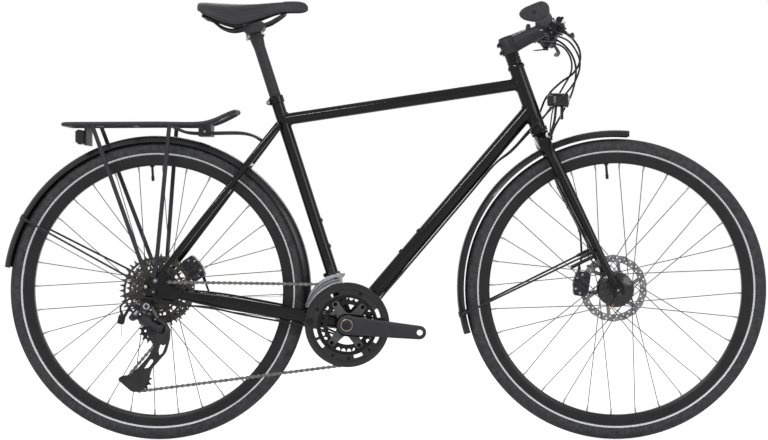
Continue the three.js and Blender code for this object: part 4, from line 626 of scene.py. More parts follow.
def spokes(shape, centre, flanges, phase):
    """Crossed spokes with their heads at the flanges."""
    step = math.tau / SPOKES_A_SIDE
    for index, (y, radius) in enumerate(flanges):
        sign = 1 if y > 0 else -1
        for k in range(SPOKES_A_SIDE):
            way = 1 if k % 2 == 0 else -1
            hole = phase + (k + index / 2) * step
            foot = around(centre, radius, hole, y + sign * way * 1.6)
            shape.rod(foot, around(centre, 284, hole + way * SPOKES_CROSSED * step, sign * 2.2), 1.0, 8, 1)
            shape.drum(foot, 2.2, foot.y - 1.0, foot.y + 1.0, 8, 1, 0.4)


def hubs():
    """Both hubs, each with its spokes."""
    bore = 5.3
    front = Shape().lathe([
        (bore, -49.6), (10, -49.6), (11, -48.6), (14.5, -42), (18, -39), (32, -31.5), (38.5, -28.6),
        (41, -27),
        (41.6, -25), (41, -23), (38, -21), (36.6, -18), (36.4, -6), (36.4, 6), (36.6, 18), (38, 21),
        (41, 23),
        (41.6, 25), (41, 27), (36, 29.6), (20, 32), (17, 34), (17, 42), (11, 49), (bore, 49.6)], FRONT, 96)
    spokes(front, FRONT, [(-25, 37), (25, 37)], FRONT_SPOKE_PHASE)
    dress("front_hub", front.mesh("front_hub"), [HUB, SPOKE])
    rear = Shape().lathe([
        (bore, -66.8), (8.6, -66.8), (8.9, -60.3), (14.7, -60), (14.7, -24.4), (26, -24.2), (29.6, -23.4),
        (30, -21.6),
        (29, -19.4), (22, -17), (16, -13), (15, -8), (15, 22), (16.5, 27), (24, 31), (29.6, 32.4), (30, 34),
        (29.6, 36), (24, 37.6), (17, 41), (17, 54), (10, 66), (bore, 66.8)], REAR, 96)
    spokes(rear, REAR, [(-21.6, 26), (34, 26)], REAR_SPOKE_PHASE)
    dress("rear_hub", rear.mesh("rear_hub"), [HUB, SPOKE])


def rotor(node, centre, y):
    turns = [k * math.tau / 216 for k in range(216)]
    outer = [polar(79.6 - 1.5 * (0.5 + 0.5 * math.cos(k * math.tau / 12)), turn) for k,
             turn in enumerate(turns)]
    loops = [outer, circle(40, 18)]
    step = math.tau / 6
    for k in range(6):
        inside = [polar(27, k * step + step * (0.06 + 0.7 * s / 6)) for s in range(7)]
        outside = [polar(62.5, k * step + step * (1.26 - 0.86 * s / 9)) for s in range(10)]
        loops.append(rounded_outline(inside + outside, 2.0, 2))
    for k in range(54):
        radius, size = (67.2, 1.9) if k % 2 else (73.8, 2.1)
        loops.append(circle(10, size, *polar(radius, (k + 0.5) * math.tau / 54)))
    loops = [moved(loop, centre) for loop in loops]
    disc = plate_mesh(node, loops, y - 0.95, y + 0.95, 0.15, 0)
    bolts = Shape()
    for k in range(6):
        foot = around(centre, 22, k * math.tau / 6 + 0.3, y + 0.9)
        bolts.bolt(foot, Y_AXIS, 3.4, 1.6, 1)
    dress(node, joined(node, [disc, bolts.mesh("b")]), [ROTOR_STEEL, SATIN])


def axle_ends():
    """Axles with their washers, nuts and end screws."""
    for name, centre, out in (("rear_axle", REAR, 73.8), ("front_axle", FRONT, 56.3)):
        shape = Shape()
        shape.drum(centre, 4.8, -out, out, 24)
        for side in (-1, 1):
            foot = centre + Y_AXIS * side * out
            shape.tube([foot, foot + Y_AXIS * side * 1.6], [8.4, 8.4], 32, Z_AXIS)
            shape.tube([foot + Y_AXIS * side * 1.6, foot + Y_AXIS * side * 7.4, foot + Y_AXIS * side * 8.6],
                       [7.4, 7.4, 6.4], 6, Z_AXIS)
            shape.bolt(foot + Y_AXIS * side * 8.4, Y_AXIS * side, 2.0, 0.6, 1)
        dress(name, shape.mesh(name), [STEEL_DARK, STEEL], bevel=0.4)


# Frame tubes with their weld beads
def meet(p, direction, base, axis, radius):
    """Where a line enters a cylinder of that radius about an axis through base."""
    d = direction - axis * direction.dot(axis)
    w = (p - base) - axis * (p - base).dot(axis)
    a, b, c = d.dot(d), 2 * d.dot(w), w.dot(w) - radius * radius
    root = b * b - 4 * a * c
    if root < 0:
        return None
    return p + direction * ((-b - math.sqrt(root)) / (2 * a))


def weld(shape, foot, direction, radius, base, axis, other, bead=2.6):
    """A rippled bead where a tube meets another. If part of it misses that tube, none is drawn."""
    direction = direction.normalized()
    lateral = (Y_AXIS - direction * Y_AXIS.dot(direction)).normalized()
    upright = direction.cross(lateral)
    points = []
    for k in range(72):
        angle = k * math.tau / 72
        start = foot + (lateral * math.cos(angle) + upright * math.sin(angle)) * min(radius, other - 0.2)
        hit = meet(start, direction, base, axis, other)
        if hit is None:
            return
        points.append(hit)
    rings = []
    for i, p in enumerate(points):
        tangent = (points[(i + 1) % 72] - points[i - 1]).normalized()
        out = (p - (foot + direction * (p - foot).dot(direction))).normalized()
        third = tangent.cross(out)
        size = bead * (1 + 0.12 * math.cos(i * math.pi))
        rings.append([p + out * size * c + third * size * s for c, s in circle(10, 1)])
    shape.rings(rings, True)


def boss(shape, foot, direction):
    """A threaded bottle boss with its screw."""
    shape.rod(foot - direction * 3, foot + direction * 1.6, 5.2, 24)
    shape.bolt(foot + direction * 1.4, direction, 4.0, 1.9, 1)


def frame_tubes():
    top_rear = Vector((297, 0, 755))

    def meets_head(start, direction):
        gap = start - FOOT
        cross = direction.x * HEAD_DIR.z - direction.z * HEAD_DIR.x
        return start + direction * ((HEAD_DIR.x * gap.z - HEAD_DIR.z * gap.x) / cross)
    top_front = meets_head(top_rear, TOP_DIR)
    down_front = meets_head(BRACKET, DOWN_DIR)
    top = Shape().rod(top_rear, top_front, TOP_TUBE_R, 48)
    weld(top, top_rear + TOP_DIR * 60, -TOP_DIR, TOP_TUBE_R, BRACKET, SEAT_DIR, 14.7)
    weld(top, top_rear + TOP_DIR * 60, TOP_DIR, TOP_TUBE_R, FOOT, HEAD_DIR, 17.9)
    dress("top_tube", top.mesh("top_tube"), PAINT)
    down = Shape().rod(BRACKET + DOWN_DIR * 8, down_front, DOWN_TUBE_R, 48)
    weld(down, BRACKET + DOWN_DIR * 120, -DOWN_DIR, DOWN_TUBE_R, BRACKET, Y_AXIS, SHELL_R)
    weld(down, BRACKET + DOWN_DIR * 120, DOWN_DIR, DOWN_TUBE_R, FOOT, HEAD_DIR, 17.95)
    upward = Vector((-DOWN_DIR.z, 0, DOWN_DIR.x))
    for along in (210, 274):
        boss(down, down_point(along) + upward * 17, upward)
    dress("down_tube", down.mesh("down_tube"), [PAINT, STEEL])
    seat = Shape().tube([seat_point(14), seat_point(545)], SEAT_TUBE_R, 48)
    weld(seat, seat_point(100), -SEAT_DIR, SEAT_TUBE_R, BRACKET, Y_AXIS, SHELL_R)
    forward = Vector((SEAT_DIR.z, 0, -SEAT_DIR.x))
    for along in (188, 252):
        boss(seat, seat_point(along) + forward * 14.6, forward)
    seat.tube([seat_point(along) for along in (544, 545, 561, 562.5)],
              [15.5, 17.6, 17.8, 16.6], 48)
    rear = -forward
    for side in (-1, 1):
        lug = seat_point(553) + rear * 19
        seat.tube([lug + Y_AXIS * side * 2.2, lug + Y_AXIS * side * 8.5], [6.2, 5.6], 20, Z_AXIS)
    seat.rod(seat_point(553) + rear * 19 - Y_AXIS * 11, seat_point(553) + rear * 19 + Y_AXIS * 11, 3, 16, 1)
    dress("seat_tube", seat.mesh("seat_tube"), [PAINT, STEEL])

    head = Shape()
    profile = [(15.8, 407.6), (20.0, 407.4), (20.5, 408.2), (20.5, 417.6), (19.7, 418.6), (17.9, 419.2),
               (17.85, 564.6),
               (19.9, 565.4), (20.4, 566.4), (20.2, 571), (17.4, 576.4), (15.8, 576.6)]
    head.rings([[steer(r * c, r * s, z) for r, z in profile] for c, s in circle(64, 1)], True)
    dress("head_tube", head.mesh("head_tube"), PAINT)

    shell = Shape().lathe([(13.4, -34), (19.4, -34), (SHELL_R, -33.2), (SHELL_R, 33.2), (19.4, 34),
                           (13.4, 34)], BRACKET, 64)
    for side in (-1, 1):
        edge = [(13.4, 33.5), (22.2, 33.7), (22.4, 34.6), (22.4, 43.4), (21.4, 44.6), (13.4, 44.6)]
        shell.lathe([(r, y * side) for r, y in edge], BRACKET, 16, 1)
    piece("look_bottom_bracket", shell.mesh("bottom_bracket"), "frame", [PAINT, SATIN],
          "bottom_bracket_shell", bevel=0.3)


def stay_paths():
    """Middle lines of the four stays, by side, each through points of (share, y) from the dropout."""
    chain_rows, seat_rows = {}, {}
    for side in (-1, 1):
        for rows, start, end, stations in (
                (chain_rows, (52, 345), (433, 276),
                 ((0, 70.5), (0.3, 54), (0.6, 41), (0.82, 33.5), (1, 25))),
                (seat_rows, (14, 392), (288, 744),
                 ((0, 70.5), (0.35, 56), (0.62, 40), (0.78, 35), (0.9, 29),
                                                    (1, 19)))):
            points = [Vector((start[0] + (end[0] - start[0]) * share, side * y,
                              start[1] + (end[1] - start[1]) * share)) for share, y in stations]
            rows[side] = smooth_path(points, 36)
    return chain_rows, seat_rows


def rear_triangle():
    chain_rows, seat_rows = stay_paths()
    dropout = [(13, 333), (38, 331), (60, 336), (62, 354), (30, 370), (24, 400), (6, 400), (-4, 388),
               (-24, 373),
               (-26, 358), (-13, 352), (-12, 334), (-7, 333)]
    hanger = dropout[:10] + [(-20, 346), (-27, 326), (-26, 314), (-17, 309.5), (-8, 314), (-6.5, 326),
                             (-7, 333)]
    lower = Shape()
    for side in (-1, 1):
        path = [p + Z_AXIS * 1.4 * min(1.0, i / 12) for i, p in enumerate(chain_rows[side])]
        sizes = []
        for i in range(len(path)):
            share = min(1.0, i / 12)
            sizes.append((5 + 3 * share, 8 + 7.1 * math.sin(share * math.pi / 2)))
        lower.tube(path, sizes, 32)
    bridge = around(REAR_GUARD, GUARD_BOLT_R, math.radians(-11))
    lower.drum(bridge, 6.6, -34, 34, 32)
    for side in (-1, 1):
        lower.drum(bridge + Y_AXIS * side * 30.5, 8.6, bridge.y + side * 30.5 - 2,
                   bridge.y + side * 30.5 + 2, 32, 0, 1.6)
    tubes = lower.mesh("chainstays")
    plates = []
    for side in (-1, 1):
        outline = hanger if side < 0 else dropout
        y0, y1 = (-73.5, -67.5) if side < 0 else (67.5, 73.5)
        eyes = [circle(16, 2.7, x, z) for x, z in ((5, 379), (-17, 365))]
        notched = with_notch(rounded_outline(outline, 3.0), 5.4)
        plates.append(plate_mesh("drop", [notched] + eyes, y0, y1, 0.5, 1))
    dress("chainstays", joined("chainstays", [tubes] + plates), PAINT)

    upper = Shape()
    for side in (-1, 1):
        path = seat_rows[side]
        sizes = [5.4 + 2.1 * min(1.0, i / 5) for i in range(len(path))]
        upper.tube(path, sizes, 28)
        weld(upper, path[-4], (path[-1] - path[-4]), 7.5, BRACKET, SEAT_DIR, 14.75, 2.0)
    at = around(REAR_GUARD, GUARD_BOLT_R, math.radians(53.5))
    upper.drum(at, 6.6, -34, 34, 32)
    dress("seatstays", upper.mesh("seatstays"), PAINT)


def rounded_outline(points, radius, steps=4):
    """A polygon with each corner cut by a small arc."""
    made = []
    count = len(points)
    for i, p in enumerate(points):
        p = Vector(p)
        a, b = Vector(points[i - 1]) - p, Vector(points[(i + 1) % count]) - p
        cut = min(radius, a.length * 0.45, b.length * 0.45)
        start, end = p + a.normalized() * cut, p + b.normalized() * cut
        for k in range(steps + 1):
            t = k / steps
            made.append(tuple(start * (1 - t) ** 2 + p * 2 * t * (1 - t) + end * t ** 2))
    return made


def with_notch(outline, half):
    """Opens a dropout outline downward with a round-topped axle slot."""
    made = []
    cut = False
    arc = [polar(half, k * math.pi / 12) for k in range(1, 12)]
    for (x, z), (nx, nz) in zip(outline, outline[1:] + outline[:1]):
        made.append((x, z))
        crosses = any(min(x, nx) < edge < max(x, nx) for edge in (-half, half))
        if crosses and z < 340 and nz < 340 and x < nx and not cut:
            share = (-half - x) / (nx - x)
            low = z + (nz - z) * share
            made += [(-half, low), (-half, WHEEL_R)] + [(-across, WHEEL_R + rise) for across, rise in arc]
            made += [(half, WHEEL_R), (half, low)]
            cut = True
    return made


def fork():
    shape = Shape()
    for side in (-1, 1):
        points = smooth_path([steer(2, side * 42, 372), steer(4.5, side * 42.5, 352),
                              steer(10, side * 44, 300),
                              steer(25, side * 50, 160), steer(37, side * 54, 50),
                              steer(41.5, side * 54, 14)], 30)
        radii = []
        for i in range(31):
            share = i / 30
            radii.append(13.0 if share < 0.25 else 13.0 - 5.6 * ((share - 0.25) / 0.75) ** 1.3)
        shape.tube(points, radii, 32)
        shape.rod(steer(31, side * 53, 103), steer(11, side * 56, 103), 4.5, 20)
    shape.tube([steer(40, 56, 62), steer(2, 54, 66)], 6, 20)
    shape.tube([steer(30, 54, 0), steer(-16, 54, 6)], 5.5, 20)
    # crown: a rounded bridge swept from blade to blade
    rows = [(-55.5, 362, 386, 12), (-54, 360.5, 390, 15), (-46, 361, 393.5, 16.4), (-30, 366, 399, 17),
            (-20, 374, 404.5, 17), (0, 376.5, 405, 17), (20, 374, 404.5, 17), (30, 366, 399, 17),
            (46, 361, 393.5, 16.4), (54, 360.5, 390, 15), (55.5, 362, 386, 12)]
    rings = []
    for y, low, high, half in rows:
        mid, tall = (low + high) / 2, (high - low) / 2
        rings.append([steer(half * c, y, mid + tall * s) for c, s in boxy(28, 0.6, 0.6)])
    shape.rings(rings)
    for radius, low, high in ((14.3, 400, 638), (19.5, 400, 406.8), (16.9, 577.2, 585),
                              (16.9, 585.5, 593.3),
                              (16.9, 593.8, 601.8)):
        shape.tube([steer(0, 0, z) for z in (low, low + 0.6, high - 0.6, high)],
                   [radius - 0.5, radius, radius, radius - 0.5], 48)
    lug = math.radians(114.9)
    shape.rod(around(FRONT_GUARD, 371.4, lug), around(FRONT_GUARD, 383, lug), 7, 24)
    tubes = shape.mesh("fork")
    plates = []
    outline = [(28, 34), (50, 34), (60, 10), (57, -14), (48.3, -14), (48.3, 0)]
    outline += [(43 + 5.3 * math.cos(k * math.pi / 10), 5.3 * math.sin(k * math.pi / 10)) for k in range(1,
                                                                                                         10)]
    outline += [(37.7, 0), (37.7, -14), (29, -14), (26, 6)]
    turned = [steer(x, 0, z) for x, z in outline]
    for side in (-1, 1):
        y0, y1 = sorted((side * 50, side * 56))
        plates.append(plate_mesh("end", [[(p.x, p.z) for p in turned]], y0, y1, 0.5, 1))
    dress("fork", joined("fork", [tubes] + plates), PAINT)


def bar_lift(out):
    """The bar's slight rise towards its ends, beyond the controls."""
    share = max(0.0, min(1.0, (out - 165) / 131)) ** 1.2
    return Vector((6 * share, 0, 5 * share))


GRIP_END = [(18.5, 3), (17.5, 11), (11, 18.5), (2, 21.5), (-13, 17.5), (-24, 13), (-36, 8), (-44, 2),
            (-48, -6),
            (-44, -13), (-36, -18.7), (-25, -21.5), (-13, -23), (-3, -22), (8, -18), (15, -10)]


def bar_and_grips():
    bar = Shape()
    points, radii = [], []
    for along in [-296, -295, -260, -230, -200, -170, -90, -84, -75, -64, -58, -46, -38, -20, 0, 20, 38, 46,
                  58, 64, 75,
                  84, 90, 170, 200, 230, 260, 295, 296]:
        out = abs(along)
        back = max(out - 40, 0) * math.tan(BAR_SWEEP)
        if 30 < out < 50:
            back = (out - 30) ** 2 / 40 * math.tan(BAR_SWEEP)
        points.append(Vector((BAR.x - back, along, BAR.z)) + bar_lift(out))
        radii.append(10.4 if out == 296 else 11.1 if out >= 90 else 15.9 if out <= 40 else
                     15.9 - 4.8 * (0.5 - 0.5 * math.cos(math.pi * (out - 40) / 50)))
    bar.tube(points, radii, 40, Z_AXIS)
    dress("handlebar", bar.mesh("handlebar"), SATIN)
    cap = [(p.x, p.y) for p in smooth_path([Vector((x, z, 0)) for x, z in GRIP_END + GRIP_END[:1]],
                                           36)[:36]]
    stations = [(128, 15.5, 0), (129.5, 16.8, 0), (133, 17.4, 0), (160, 17.4, 0), (190, 17.4, 0.02),
                (202, 17.4, 0.08),
                (214, 17.4, 0.24), (225, 17.4, 0.46), (236, 17.4, 0.7), (247, 17.4, 0.9), (256, 17.4, 1),
                (261, 17, 1),
                (264.5, 16, 1), (266, 14.5, 1)]
    shrinks = {11: 0.975, 12: 0.93, 13: 0.85}
    for side, name in SIDES:
        rings = []
        for step in range(4 * (len(stations) - 1) + 1):
            i, f = divmod(step, 4)
            j = min(i + 1, len(stations) - 1)
            y, small, wing = (a + (b - a) * f / 4 for a, b in zip(stations[i], stations[j]))
            shrink = shrinks.get(i, 1.0) * (1 - f / 4) + shrinks.get(j, 1.0) * f / 4
            ring = []
            for k in range(36):
                angle = k * math.tau / 36
                rib = 0.5 if (step % 2 and 136 < y < 250 and abs(math.sin(angle)) > 0.3) else 0.0
                x, z = polar(small - rib, angle)
                x = x + (cap[k][0] - x) * wing
                z = z + (cap[k][1] - z) * wing
                x = -14 * wing + (x + 14 * wing) * shrink
                ring.append(bar_spot(side, x, y, z * shrink) + bar_lift(y + 40))
            rings.append(ring)
        shape = Shape().rings(rings)
        collar = [bar_spot(side, 0, y, 0) + bar_lift(y + 40) for y in (128.2, 129, 134, 134.8)]
        shape.tube(collar, [18.4, 19, 19, 18.4], 40, Z_AXIS, 1)
        shape.bolt(bar_spot(side, 0, 131.6, -18.6), Vector((0, 0, -1)), 2.6, 1.8, 2)
        end = [bar_spot(side, -14, y, -3) + bar_lift(296) for y in (262, 266.6, 267.2)]
        shape.tube(end, [4.2, 4.2, 3.6], 24, Z_AXIS, 1)
        shape.bolt(end[2], Y_AXIS * side, 1.5, 0.6, 2)
        dress("grip_" + name, shape.mesh("grip"), [GRIP, GLOSS, STEEL_DARK], smooth=45)


def stem():
    shape = Shape()
    sleeve = [(17.4, 602.5), (20, 603.4), (20, 638.6), (19.2, 640), (17.8, 640.4), (17.8, 644), (16.6, 645)]
    shape.tube([steer(0, 0, z) for r, z in sleeve], [r for r, z in sleeve], 48)
    arm = [(6, 621.4, 15, 19.6), (26, 624, 14, 18.8), (50, 626.8, 13.2, 17.6), (74, 629.6, 14, 16.8),
           (92, 631, 16.5, 16.8)]
    shape.tube([steer(x, 0, z) for x, z, a, b in arm], [(a, b) for x, z, a, b in arm], 40)
    shape.drum(BAR, 20.5, -23, 23, 56, 0, 1.6)
    for level in (612, 631):
        shape.rod(steer(-21.5, -12, level), steer(-21.5, 12, level), 4.5, 20)
        shape.tube([steer(-14, 0, level), steer(-21.5, 0, level)], [(8, 4), (8, 4)], 20)
        shape.bolt(steer(-21.5, -12, level), -Y_AXIS, 3.2, 1.2, 1)
    for side in (-1, 1):
        for rise in (-1, 1):
            shape.bolt(steer(118, side * 15, 632 + rise * 13.5), HEAD_FWD, 3.4, 3.0, 1)
    shape.tube([Vector((874.5, 0, 956)), Vector((875.2, 0, 968)), Vector((875.8, 0, 974.5)),
                Vector((876, 0, 977))],
               [6.4, 5.8, 5.2, 2.8], 24)
    dress("stem", shape.mesh("stem"), [SATIN, STEEL_DARK], smooth=45)


def control_trim():
    """Adjusters, caps and screws of the two bar controls."""
    for side, name in SIDES:
        shape = Shape()

        def spot(x, y, z):
            return bar_spot(side, x, y, z)

        shape.tube([spot(28, y, 6) for y in (56, 57, 67, 68)],
                   [6.6, 7.4, 7.4, 6.6], 28,
                   Z_AXIS)
        shape.tube([spot(35, y, 9.5) for y in (60, 67, 68)], [3.6, 3.6, 3.0], 20, Z_AXIS)
        shape.tube([spot(36, 64, -1), spot(40, 64, -5)], [(5.2, 5.2), (4.2, 4.2)], 20, Z_AXIS, 1)
        shape.tube([spot(-9, y, -9) for y in (108.6, 110, 126, 127.4)],
                   [(11, 9), (13.5, 11.5), (13.5, 11.5), (11, 9)], 28, Z_AXIS)
        out = spot(0, 1, 0) - spot(0, 0, 0)
        for x, y, z in ((15, 92.5, -4), (13, 88.5, -25)):
            shape.bolt(spot(x, y, z), out, 2.4, 1.6, 2)
        piece("control_trim_" + name, shape.mesh("t"), "front_end", [GLOSS, ALLOY, STEEL],
              smooth=45)


def guard_section(width, sheet=1.5, depth=15.0):
    """Rolled mudguard section as (height above the crown line, across) pairs, outside then inside."""
    outside, inside = [], []
    for k in range(17):
        t = -1 + 2 * k / 16
        drop = depth * (0.18 * t * t + 0.82 * max(0.0, abs(t) - 0.25) ** 2.6 / 0.75 ** 2.6)
        outside.append((-drop, t * width))
        inside.append((-drop - sheet + (0.2 if abs(t) == 1 else 0), t * (width - sheet * abs(t) ** 3)))
    return outside + inside[::-1]


def mudguard(centre, radius, start, end):
    count = 120
    pinches = {0: 0.86, 1: 0.95, 2: 0.99}
    rings = []
    for i in range(count + 1):
        angle = math.radians(start + (end - start) * i / count)
        pinch = pinches.get(min(i, count - i), 1.0)
        rings.append([around(centre, radius + drop, angle, y * pinch) for drop, y in guard_section(25.0)])
    return Shape().rings(rings)


def stays(shape, centre, radius, strap, foot):
    """Two rods from a clamp round the guard to the eyelets, with their plastic end pieces."""
    section = guard_section(25.0 + 1.9, 1.5, 14.2)
    rings = []
    for angle, grow in ((-1.0, 1.6), (-0.9, 1.85), (0.9, 1.85), (1.0, 1.6)):
        rings.append([around(centre, radius + grow + d, math.radians(strap + angle), y) for d,
                      y in section])
    shape.rings(rings)
    for side in (-1, 1):
        end = around(centre, radius - 7.5, math.radians(strap), side * 27.4)
        start = Vector((foot.x, side * foot.y, foot.z))
        shape.rod(start, end, 2.4, 14)
        clip = start.lerp(end, 0.085)
        shape.bolt(start + Y_AXIS * side * 4.0, Y_AXIS * side, 4.0, 2.4, 2)
        shape.tube([start, start.lerp(clip, 0.2), start.lerp(clip, 0.8), clip], [4.5, 4.5, 4.0, 3.0], 16,
                   Y_AXIS, 1)
        near = end.lerp(start, 0.05)
        shape.tube([end, end.lerp(near, 0.8), near], [4.2, 4.2, 3.0], 16, Y_AXIS, 1)


def mudguards():
    for node, centre, radius, start, end in (("rear_mudguard", REAR_GUARD, REAR_GUARD_R, 171, -13),
                                             ("front_mudguard", FRONT_GUARD, FRONT_GUARD_R, 84.7, 197)):
        dress(node, mudguard(centre, radius, start, end).mesh(node), GUARD, smooth=60)
    for node, centre, radius, strap, foot, screw in (
            ("rear_mudguard_stays", REAR_GUARD, REAR_GUARD_R, 151.3, Vector((-17, 79.3, 365)), STEEL),
            ("front_mudguard_stays", FRONT_GUARD, FRONT_GUARD_R, 189.6, steer(16, 65.2, 103), STEEL_DARK)):
        held = Shape()
        stays(held, centre, radius, strap, foot)
        dress(node, held.mesh("s"), [STEEL_DARK, PLASTIC, screw], smooth=60)


def rack():
    """Rear rack: rail, legs, front struts, cross bars and slat."""
    z = 745
    shape = Shape()
    half = [(-216, 40, z), (-212, 50, z), (-198, 56, z), (-100, 56, z), (0, 56, z), (112, 56, z),
            (140, 54, 752),
            (168, 51, 764.5), (181, 45, 770.5), (187, 34, 773), (189, 18, 774), (189, 0, 774)]
    loop = [Vector(p) for p in half] + [Vector((x, -y, h)) for x, y, h in reversed(half[:-1])]
    shape.tube(smooth_path(loop, 150), 5, 18)
    for side in (-1, 1):
        foot = Vector((2, side * 78.5, 388))
        for leg in (((-146, 56, 744), (-22, 78.5, 404)), ((36, 56, 744), (6, 78.5, 404))):
            a, b = mirrored(side, leg)
            shape.tube([a, b.lerp(a, 0.04), b, foot], [5, 5, 4.8, 4.4], 18)
        shape.tube([Vector((5, side * 74.5, 379)), Vector((5, side * 80.5, 379))], [8.2, 8.2], 24, Z_AXIS)
        shape.bolt(Vector((5, side * 80.4, 379)), Y_AXIS * side, 4.2, 3.0, 1)
        strut = smooth_path(mirrored(side, [(40, 20, 738), (70, 24, 726), (205, 24, 723), (232, 27, 715),
                                            (247, 38, 705.5)]), 30)
        shape.tube(strut, 3.4, 14)
    shape.rod(Vector((-216, -44, z)), Vector((-216, 44, z)), 4.9, 18)
    for x in (-140, -55, 30, 110):
        shape.rod(Vector((x, -56, z)), Vector((x, 56, z)), 3.9, 16)
    slat = rounded_outline([(-214, 746.4), (116, 746.4), (116, 750), (-214, 750)], 1.2)
    plate = plate_mesh("slat", [slat], -17, 17, 0.6, 1)
    shape.box(100, 130, -30, 30, 716, 744)
    shape.box(-168, -163, -36, 36, 696, 748)
    for side in (-1, 1):
        shape.bolt(Vector((115, side * 30, 727)), Y_AXIS * side, 3.2, 2.4, 1)
    dress("rear_rack", joined("rear_rack", [shape.mesh("r"), plate]), [SATIN, STEEL],
          smooth=45)


def saddle():
    """Padded cover with its seams, rails, shell and seatpost. Plan rows are x, half width, top and edge."""
    plan = [(98.6, 24, 1026, 1016), (99, 34, 1029, 1014), (104, 52, 1031, 1009), (116, 66, 1031.5, 1002),
            (135, 73, 1030.5, 993), (160, 72, 1029, 984), (185, 62, 1028, 978), (210, 45, 1028, 981),
            (235, 32, 1029, 989), (260, 24, 1031, 998), (285, 20, 1033, 1006), (310, 18.5, 1034.2, 1009),
            (335, 17, 1033.8, 1009), (350, 12, 1030, 1011), (357, 5, 1022, 1015)]

    def skin(angle, half, top, edge):
        """Across and height of the cover's surface, from the middle (0) down to the edge (a right angle)."""
        return half * math.sin(angle) ** 0.9, top - (top - edge) * (1 - math.cos(angle)) ** 1.15

    def spread(column, t):
        """Smooth value between the stations of the plan."""
        i = min(int(t), len(plan) - 2)
        f = t - i
        rows = [plan[max(i - 1, 0)], plan[i], plan[i + 1], plan[min(i + 2, len(plan) - 1)]]
        p0, p1, p2, p3 = (row[column] for row in rows)
        return p1 + 0.5 * f * (p2 - p0 + f * (2 * p0 - 5 * p1 + 4 * p2 - p3 + f * (3 * (p1 - p2) + p3 - p0)))
    rings = []
    steps = 84
    for s in range(steps + 1):
        t = s * (len(plan) - 1) / steps
        x, half, top, edge = (spread(c, t) for c in range(4))
        drop = top - edge
        outside, inside = [], []
        for k in range(19):
            y, z = skin(k / 18 * math.pi / 2, half, top, edge)
            grooved = 118 < x < 300
            channel = 1.6 * math.exp(-(y / 9) ** 2) if grooved else 0.0
            outside.append((y, z - channel - (0.9 if grooved and k == 0 else 0)))
            inside.append((y * (0.9 if half > 12 else 0.7),
                           z - min(7.0, drop * 0.45) + (2.0 if k > 14 else 0)))
        right = outside + [(half * 0.985, edge - 1.2), (half * 0.95, edge - 1.5)] + inside[::-1]
        left = [(-y, z) for y, z in right[1:-1]][::-1]
        rings.append([Vector((x, y, max(z, edge - 1.5))) for y, z in right + left])
    shape = Shape().rings(rings)
    cover = piece("saddle_cover_look", shape.mesh("saddle_cover"), "saddle_assembly", SADDLE,
                  "saddle_cover", smooth=70)
    seams = Shape()
    for side in (-1, 1):
        for share, low, high in ((0.86, 2.4, 12.6), (0.55, 6.2, 9.4)):
            points = []
            for s in range(120):
                t = low + (high - low) * s / 119
                x, half, top, edge = (spread(c, t) for c in range(4))
                y, z = skin(share * math.pi / 2, half, top, edge)
                points.append(Vector((x, side * (y + 0.15), z + 0.25)))
            seams.tube(points, 0.75, 8, Z_AXIS)
    piece("saddle_seams", seams.mesh("saddle_seams"), "saddle_assembly", THREAD)

    rails = Shape()
    for side in (-1, 1):
        path = smooth_path(mirrored(side, [(112, 34, 998), (132, 28, 990), (152, 23, 974), (178, 22, 965.5),
                                           (215, 22, 971.5), (262, 22, 980), (285, 18, 992),
                                           (303, 9, 1004)]), 60)
        rails.tube(path, 3.5, 18)
    rails.rod(Vector((302.5, -10, 1004)), Vector((302.5, 10, 1004)), 3.5, 18)
    rails.rod(Vector((113, -36, 997.5)), Vector((113, 36, 997.5)), 3.5, 18)
    dress("saddle_rails", rails.mesh("saddle_rails"), STEEL_DARK)
    refined("saddle_shell", PLASTIC, 0.8, 4)

    post = Shape()
    post.tube([seat_point(341), seat_point(342), seat_point(702)], [13.0, 13.6, 13.6], 48)
    head = seat_point(712)
    post.tube([seat_point(684), seat_point(690), seat_point(700), seat_point(707),
               Vector((head.x + 2, 0, head.z + 5))],
              [13.6, 14.4, 15.6, 16.6, (17.5, 19)], 40)
    for x, z in ((214, 947), (248, 953)):
        a, b = Vector((x, 0, z)), Vector((x - 6, 0, z + 34))
        post.rod(a, b, 3.2, 20, 1)
        post.bolt(a, (a - b), 4.6, 4.0, 1)
    cradle = rounded_outline([(206, 962), (214, 956), (246, 961), (254, 970), (256, 981), (250, 985),
                              (208, 977),
                              (203, 970)], 3)
    dress("seatpost", joined("seatpost", [post.mesh("p"), plate_mesh("c", [cradle], -18.5, 18.5, 1.0, 2),
                                               plate_mesh("c", [cradle], -28, -25.2, 0.8, 2),
                                               plate_mesh("c", [cradle], 25.2, 28, 0.8, 2)]),
          [SATIN, STEEL])


# Drivetrain
def pitch_radius(teeth):
    return CHAIN_PITCH / 2 / math.sin(math.pi / teeth)


def tooth_outline(centre, teeth, phase=0.0, tall=4.6):
    """Sprocket outline: round roller seats between tapered teeth."""
    radius = pitch_radius(teeth)
    seat = 4.0
    step = math.tau / teeth
    made = []
    for k in range(teeth):
        middle = phase + k * step
        for t in (-70, -35, 0, 35, 70):
            a = math.radians(t)
            x = radius - seat * math.cos(a)
            y = seat * math.sin(a)
            made.append((x * math.cos(middle) - y * math.sin(middle),
                         x * math.sin(middle) + y * math.cos(middle)))
        for share in (0.43, 0.57):
            made.append(polar(radius + tall - 1.2, middle + share * step))
    return moved(made, centre)


SPROCKETS = [11, 13, 15, 18, 21, 24, 28, 34, 41]
CHAIN_WHEELS = [
    (REAR, pitch_radius(11), 1, SPROCKET_Y), (GUIDE_PIVOT, pitch_radius(13), -1, SPROCKET_Y),
    (TENSION_PIVOT, pitch_radius(13), 1, SPROCKET_Y), (BRACKET, pitch_radius(46), 1, -50.0),
]


